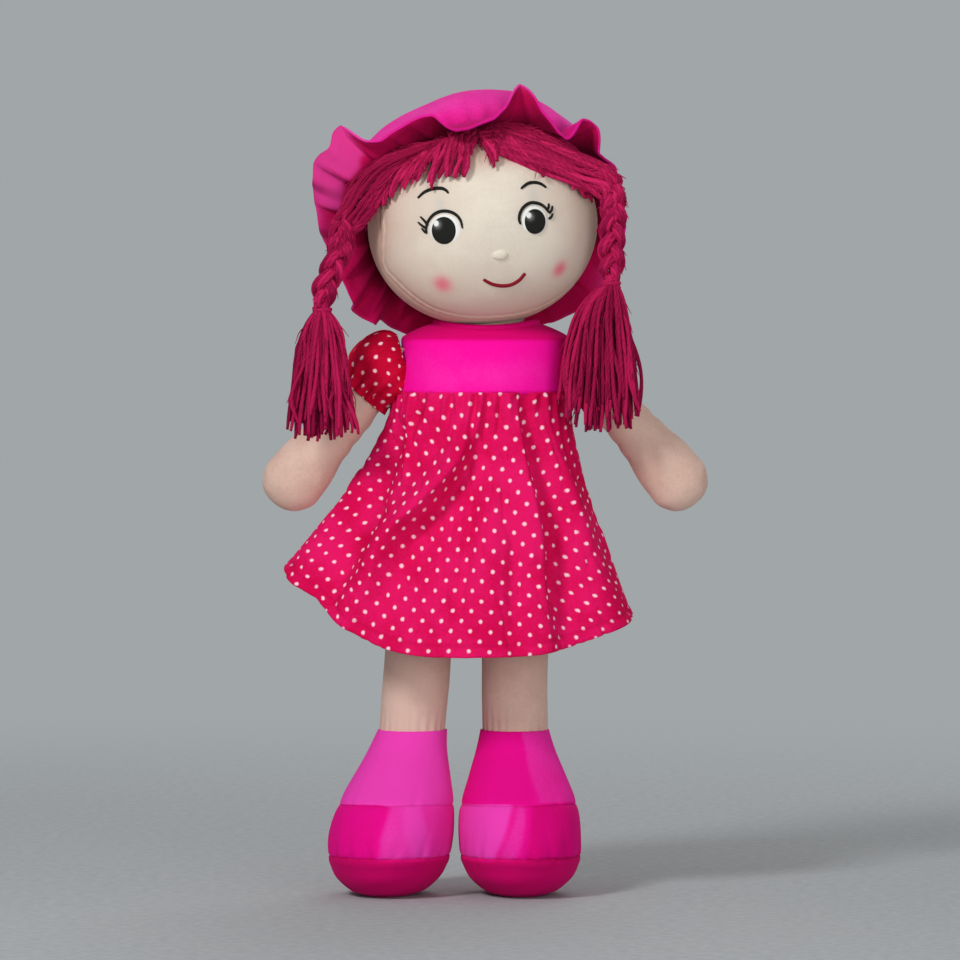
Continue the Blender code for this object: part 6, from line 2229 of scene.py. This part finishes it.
@dataclass(frozen=True)
class Braid:
    """Three-strand braid of yarn with its tie and tassel."""

    side: Side
    sizes: BraidSizes
    head: HeadForm = HeadForm()
    half_width: float = 4.7 * MM
    half_depth: float = 3.4 * MM
    pitch: float = 34 * MM
    yarns: int = 6
    ring: float = 1.75 * MM
    yarn_radius: float = 1.3 * MM
    tie_height: float = 6 * MM
    tassel_half_depth: float = 9 * MM
    tassel_strands: int = 76

    @property
    def root(self) -> Array:
        """Where the braid hangs, in the doll's frame."""
        return self.sizes.root(self.side, self.head)

    @property
    def tie_shift(self) -> float:
        """How far the tie stands sideways of the root."""
        return self.side.value * (self.sizes.tie_out - self.sizes.root_out)

    def packed(self, down: Array) -> Array:
        """How far the strands are drawn in to the tie's bundle: 0 above it, 1 at it."""
        return smooth_step(down, self.sizes.length - 2.4 * self.tie_height,
                           self.sizes.length - 0.9 * self.tie_height)

    def strand_line(self, phase: float, down: Array) -> Array:
        """Middle line of one strand of the braid.

        It swings sideways as sin(turn) and forward and back as sin(2 turn), and is drawn in to a
        bundle at the tie.

        Args:
            phase: where in the swing it starts.
            down: distances below the root.

        Returns:
            Points relative to the root.
        """
        sizes = self.sizes
        turn = math.pi / 2 + phase - TURN * down / self.pitch
        pack = self.packed(down)
        start = smooth_step(down, -6 * MM, 9 * MM)
        wide = self.half_width * (0.72 + 0.28 * start) * (1 - 0.5 * pack)
        deep = self.half_depth * (1 - 0.5 * pack)
        share = np.clip(down / (sizes.length - self.tie_height), 0, 1)
        lean = self.tie_shift * share * share * (3 - 2 * share)
        return np.stack((wide * np.sin(turn) + lean, deep * np.sin(2 * turn), -down), axis=-1)

    def build(self) -> None:
        """Make the strands, the tie and the tassel."""
        side = self.side.label
        for number in range(3):
            settle(self.build_strand(number), side + "_braid", f"{side}_braid_strand_{number + 1}")
        settle(self.build_tie(), side + "_braid", side + "_hair_tie")
        settle(self.build_tassel(), side + "_braid", side + "_tassel")

    def build_strand(self, number: int) -> bpy.types.Object:
        """One strand: a ring of yarns that winds slowly round the strand's middle line.

        Args:
            number: which of the three.

        Returns:
            The piece.
        """
        random = np.random.default_rng(90 + 10 * self.side.value + number)
        down = np.linspace(-7 * MM, self.sizes.length, 90)
        middle = self.strand_line(number * TURN / 3, down)
        along = unit(np.gradient(middle, axis=0))
        across = unit(np.cross(along, np.broadcast_to((0.15, 1.0, 0.1), along.shape)))
        up = np.cross(across, along)
        ring = (self.ring * (1 - 0.35 * self.packed(down)))[:, None]
        lines = []
        for yarn in range(self.yarns):
            turn = (TURN * yarn / self.yarns + TURN * down / (55 * MM))[:, None]
            loose = 1 + 0.22 * np.sin(down * 260 + 2.4 * yarn + number)[:, None]
            lines.append(middle + ring * loose * (np.cos(turn) * across + 0.85 * np.sin(turn) * up))
        lines = np.array(lines) + self.root
        radii = np.full(lines.shape[:2], self.yarn_radius)
        patches = tube_patches(lines, radii, 9, random.uniform(-1, 1, self.yarns),
                               np.array((0.15, 1.0, 0.1)))
        patches += loose_fibres(lines, 110, 2.4 * MM, 130 + 4 * self.side.value + number)
        return make_piece(f"{self.side.label}_braid_yarns_{number + 1}", patches, [BRAID_YARN])

    def build_tie(self) -> bpy.types.Object:
        """Tie: a few turns of yarn wound round the bundle.

        Returns:
            The piece.
        """
        turns = 3.6
        spot = np.linspace(0, 1, 130)
        turn = spot * turns * TURN
        radius = (4.3 + 0.25 * np.sin(spot * 9)) * MM
        low = -self.sizes.length + self.tie_height * (0.15 + 0.75 * spot)
        line = np.stack((radius * np.cos(turn) + self.tie_shift, 0.9 * radius * np.sin(turn), low),
                        axis=-1)
        line = line + self.root
        patches = tube_patches(line[None], np.full((1, 130), 1.15 * MM), 10, np.zeros(1),
                               np.array((0, 0, 1.0)))
        return make_piece(self.side.label + "_braid_tie", patches, [BRAID_YARN])

    def build_tassel(self) -> bpy.types.Object:
        """Tassel: loose yarn ends that spread below the tie and hang.

        A strand with a place (x, y) in the bundle ends at that place times the tassel's half
        sizes; on the way it moves out as 0.58 * (1 - exp(-s / 0.15)) + 0.42 * s.

        Returns:
            The piece.
        """
        sizes = self.sizes
        random = np.random.default_rng(100 + self.side.value)
        count, rows = self.tassel_strands, 40
        number = np.arange(count) + 0.5
        radius = np.sqrt(number / count)
        turn = number * GOLDEN_TURN
        place = np.stack((radius * np.cos(turn), radius * np.sin(turn)), axis=-1)
        place += random.normal(scale=0.05, size=place.shape)
        share = np.linspace(0, 1, rows)[None]
        quick = 1 - np.exp(-share / 0.15)
        spread = 0.58 * quick + 0.42 * share
        length = sizes.tassel_length * (1 + 0.09 * np.clip(random.normal(size=(count, 1)), -2, 0.9))
        length = length * (1 - 0.06 * radius[:, None] ** 2)
        start = 3.4 * MM
        sway = random.normal(size=(count, 2, 1)) * 1.2 * MM
        x = place[:, :1] * (start + (sizes.tassel_half_width - start) * spread)
        y = place[:, 1:] * (start + (self.tassel_half_depth - start) * spread)
        stray = 2.4 * MM * np.clip(random.normal(size=(count, 1)), -1.6, 1.6) * (
            random.uniform(size=(count, 1)) < 0.3)
        x = x + self.side.value * sizes.tassel_out * quick + stray * share**2
        x = x + 1.3 * sway[:, 0] * np.sin(
            share * (6 + 2 * sway[:, 1] / MM) + 9 * sway[:, 1] / MM) * share**0.5
        y = y + sway[:, 1] * np.sin(share * 4 + 1)
        z = -sizes.length + 3.5 * MM - length * share
        lines = grid(x + self.tie_shift, y, z) + self.root
        taper = 1.12 * MM * (1 - 0.25 * smooth_step(share, 0.9, 1.0)) * (
            1 + 0.1 * np.sin(16 * share + 30 * place[:, :1])) + 0 * x
        patches = tube_patches(lines, taper, 9, random.uniform(-1, 1, count),
                               np.array((0.1, 1.0, 0.05)))
        patches += loose_fibres(lines, 420, 4.0 * MM, 140 + self.side.value)
        return make_piece(self.side.label + "_tassel_yarn", patches, [TASSEL_YARN])


UNDER_LOCKS = tuple(Lock(((around, 61), (around - 1.5, 43)), 4, (9, 7), 1.2 * MM)
                    for around in (-8, -17, -26, -35, -44))
RIGHT_LOCKS = UNDER_LOCKS + (
    Lock(((-24, 60), (-28.5, 38), (-32.4, 17.5)), 4, (8, 3.2), 2.6 * MM),
    Lock(((-21, 60), (-24.5, 42), (-28, 23)), 3, (6, 3.5)),
    Lock(((-18, 60), (-21, 42), (-24.3, 23)), 3, (6, 3), 2.6 * MM),
    Lock(((-14, 60), (-17.5, 42), (-20.3, 22.5)), 4, (7, 3.4)),
    Lock(((-10, 60), (-11.5, 42), (-15, 22)), 4, (7, 3.4), 2.6 * MM),
    Lock(((-7, 60), (-8.5, 48), (-12, 33)), 3, (5, 3.4)),
    Lock(((-27, 59), (-35, 41), (-43.5, 25)), 5, (8, 4.5), 2.6 * MM),
    Lock(((-33, 57), (-42, 38), (-49.5, 21)), 5, (8, 4.5)),
    Lock(((-39, 55), (-48, 35), (-56, 17)), 5, (9, 4.5), 2.8 * MM),
    Lock(((-46, 51), (-56, 30), (-62, 13.5)), 6, (9, 5.5)),
)
LEFT_LOCKS = (
    Lock(((-2, 61), (0.5, 44), (3.3, 26)), 4, (6, 3), 2.6 * MM),
    Lock(((2, 61), (8, 46), (13.5, 30.5)), 5, (8, 4)),
    Lock(((7, 60), (16, 42), (23, 24)), 5, (9, 4.5), 2.6 * MM),
    Lock(((12, 59), (23, 40), (30, 19)), 6, (9, 5)),
    Lock(((17, 58), (30, 37), (38, 14.5)), 6, (10, 5), 2.8 * MM),
    Lock(((23, 56), (38, 34), (45, 10.5)), 6, (10, 5)),
    Lock(((29, 54), (46, 30), (53, 7)), 6, (10, 5), 2.8 * MM),
    Lock(((35, 51), (53, 27), (60, 4)), 6, (10, 6)),
    Lock(((0, 62), (18, 51), (38, 37), (58, 22)), 7, (8, 9), 4.2 * MM),
    Lock(((6, 64), (28, 52), (50, 37), (70, 20)), 7, (8, 9), 4.2 * MM),
)
RIGHT_SWEEP = Sweep(
    ((-25.9, -40, 415.5), (-44.2, -42, 411.5), (-62, -42, 402.5), (-74.1, -42, 387.5),
     (-81, -41, 374)),
    ((-38.5, -37.5, 406.8), (-50, -37.7, 394.7), (-57.2, -37.5, 383), (-64, -39, 374),
     (-71, -41, 367)))
LEFT_SWEEP = Sweep(
    ((-3.9, -38.8, 419.9), (16.4, -36, 421.1), (38.4, -34.5, 412.4), (57, -33, 406),
     (69.5, -38, 400.1), (73.5, -38, 392)),
    ((3.8, -45.2, 410.9), (24.6, -45.5, 402.7), (42.2, -40, 395.8), (54.5, -36, 390.5),
     (62, -38, 388.5), (65.5, -38, 386.5)))


# Studio


@dataclass(frozen=True)
class Studio:
    """Camera, soft lamps and a plain pale floor."""

    elevation: float = math.radians(1.5)
    distance: float = 3200 * MM
    view_width: float = 534 * MM
    target: tuple[float, float, float] = (-2.8 * MM, 0.0, 229 * MM)
    backdrop: str = "#a1a6a8"
    world_strength: float = 0.33
    floor_half: float = 3.0
    floor_drop: float = 0.2 * MM

    def build(self) -> None:
        """Make the whole studio."""
        bpy.context.scene.view_settings.view_transform = "Standard"
        self.build_camera()
        self.build_lamps()
        self.build_floor()

    def build_camera(self) -> None:
        """Camera at the photograph's viewing angle."""
        data = bpy.data.cameras.new("camera")
        data.sensor_width = 36
        data.lens = 36 * self.distance / self.view_width
        data.clip_end = 50
        camera = add_object("camera", data)
        way = Vector((0, -math.cos(self.elevation), math.sin(self.elevation)))
        camera.location = Vector(self.target) + way * self.distance
        camera.rotation_euler = way.to_track_quat("Z", "Y").to_euler()
        bpy.context.scene.camera = camera

    def build_lamps(self) -> None:
        """A soft lamp high at the picture's left, a low broad one in front, one behind, and even
        light all round."""
        for name, place, size, power in (("key", (-1.05, -1.5, 1.45), 0.5, 25.0),
                                         ("fill", (0.7, -2.2, 0.3), 1.3, 22.0),
                                         ("back", (0.4, 1.6, 1.5), 1.4, 12.0)):
            data = bpy.data.lights.new(name, "AREA")
            data.shape = "DISK"
            data.size = size
            data.energy = power
            lamp = add_object(name, data)
            lamp.location = place
            lamp.visible_camera = False
            aim = Vector((0, 0, 0.23)) - Vector(place)
            lamp.rotation_euler = aim.to_track_quat("-Z", "Y").to_euler()
        world = bpy.data.worlds.new("world")
        bpy.context.scene.world = world
        world.use_nodes = True
        nodes, links = world.node_tree.nodes, world.node_tree.links
        light = nodes["Background"]
        light.inputs["Color"].default_value = (1, 1, 1, 1)
        light.inputs["Strength"].default_value = self.world_strength
        seen = nodes.new("ShaderNodeBackground")
        seen.inputs["Color"].default_value = paint(self.backdrop)
        path = nodes.new("ShaderNodeLightPath")
        blend = nodes.new("ShaderNodeMixShader")
        links.new(path.outputs["Is Camera Ray"], blend.inputs[0])
        links.new(light.outputs[0], blend.inputs[1])
        links.new(seen.outputs[0], blend.inputs[2])
        links.new(blend.outputs[0], nodes["World Output"].inputs[0])

    def build_floor(self) -> None:
        """Pale floor that keeps the doll's shadow and fades into the backdrop's colour."""
        spread = np.linspace(-1, 1, 41)
        x, y = np.meshgrid(spread * self.floor_half, spread * self.floor_half, indexing="ij")
        points = grid(x, y, -self.floor_drop)
        mesh = make_mesh("floor", [Patch(points)])
        floor = add_object("floor", mesh)
        recipe = Recipe("floor_cloth")
        grain = recipe.mix(recipe.span(recipe.noise(6 * MM, 4, 0.6), 0.3, 0.7),
                           paint("#a5a9ac"), paint("#b0b4b6"))
        recipe.finish(grain, recipe.bump(recipe.noise(2 * MM, 3), 0.3 * MM, 0.4), 0.95, 0.0, 0.5,
                      paint("#ffffff"))
        split = recipe.add("ShaderNodeSeparateXYZ", None, {0: recipe.place()})
        squares = [recipe.math("MULTIPLY", split.outputs[axis], split.outputs[axis])
                   for axis in (0, 1)]
        distance = recipe.math("SQRT", recipe.math("ADD", *squares))
        fade = recipe.span(distance, 0.35, 1.6)
        clear = recipe.add("ShaderNodeBsdfTransparent")
        blend = recipe.add("ShaderNodeMixShader", None, {0: fade, 1: recipe.shader.outputs[0],
                                                         2: clear.outputs[0]})
        recipe.links.new(blend.outputs[0], recipe.nodes["Material Output"].inputs[0])
        mesh.materials.append(recipe.material)


def main() -> None:
    """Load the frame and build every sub-assembly round it."""
    logging.basicConfig(level=logging.INFO, format="%(message)s")
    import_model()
    Studio().build()
    Torso().build()
    Bodice().build()
    Skirt().build()
    for side in Side:
        Sleeve(side).build()
        Arm(side).build()
        Leg(side).build()
        Shoe(side).build()
    Head().build()
    Face().build()
    Cap().build()
    Fringe(Side.RIGHT, RIGHT_LOCKS).build()
    Fringe(Side.LEFT, LEFT_LOCKS).build()
    # The right side hair is painted darker, as the shade under the brim.
    SideHair(Side.RIGHT, RIGHT_BRAID, RIGHT_SWEEP, dye=-1.3).build()
    SideHair(Side.LEFT, LEFT_BRAID, LEFT_SWEEP).build()
    Braid(Side.RIGHT, RIGHT_BRAID).build()
    Braid(Side.LEFT, LEFT_BRAID).build()


if __name__ == "__main__":
    main()
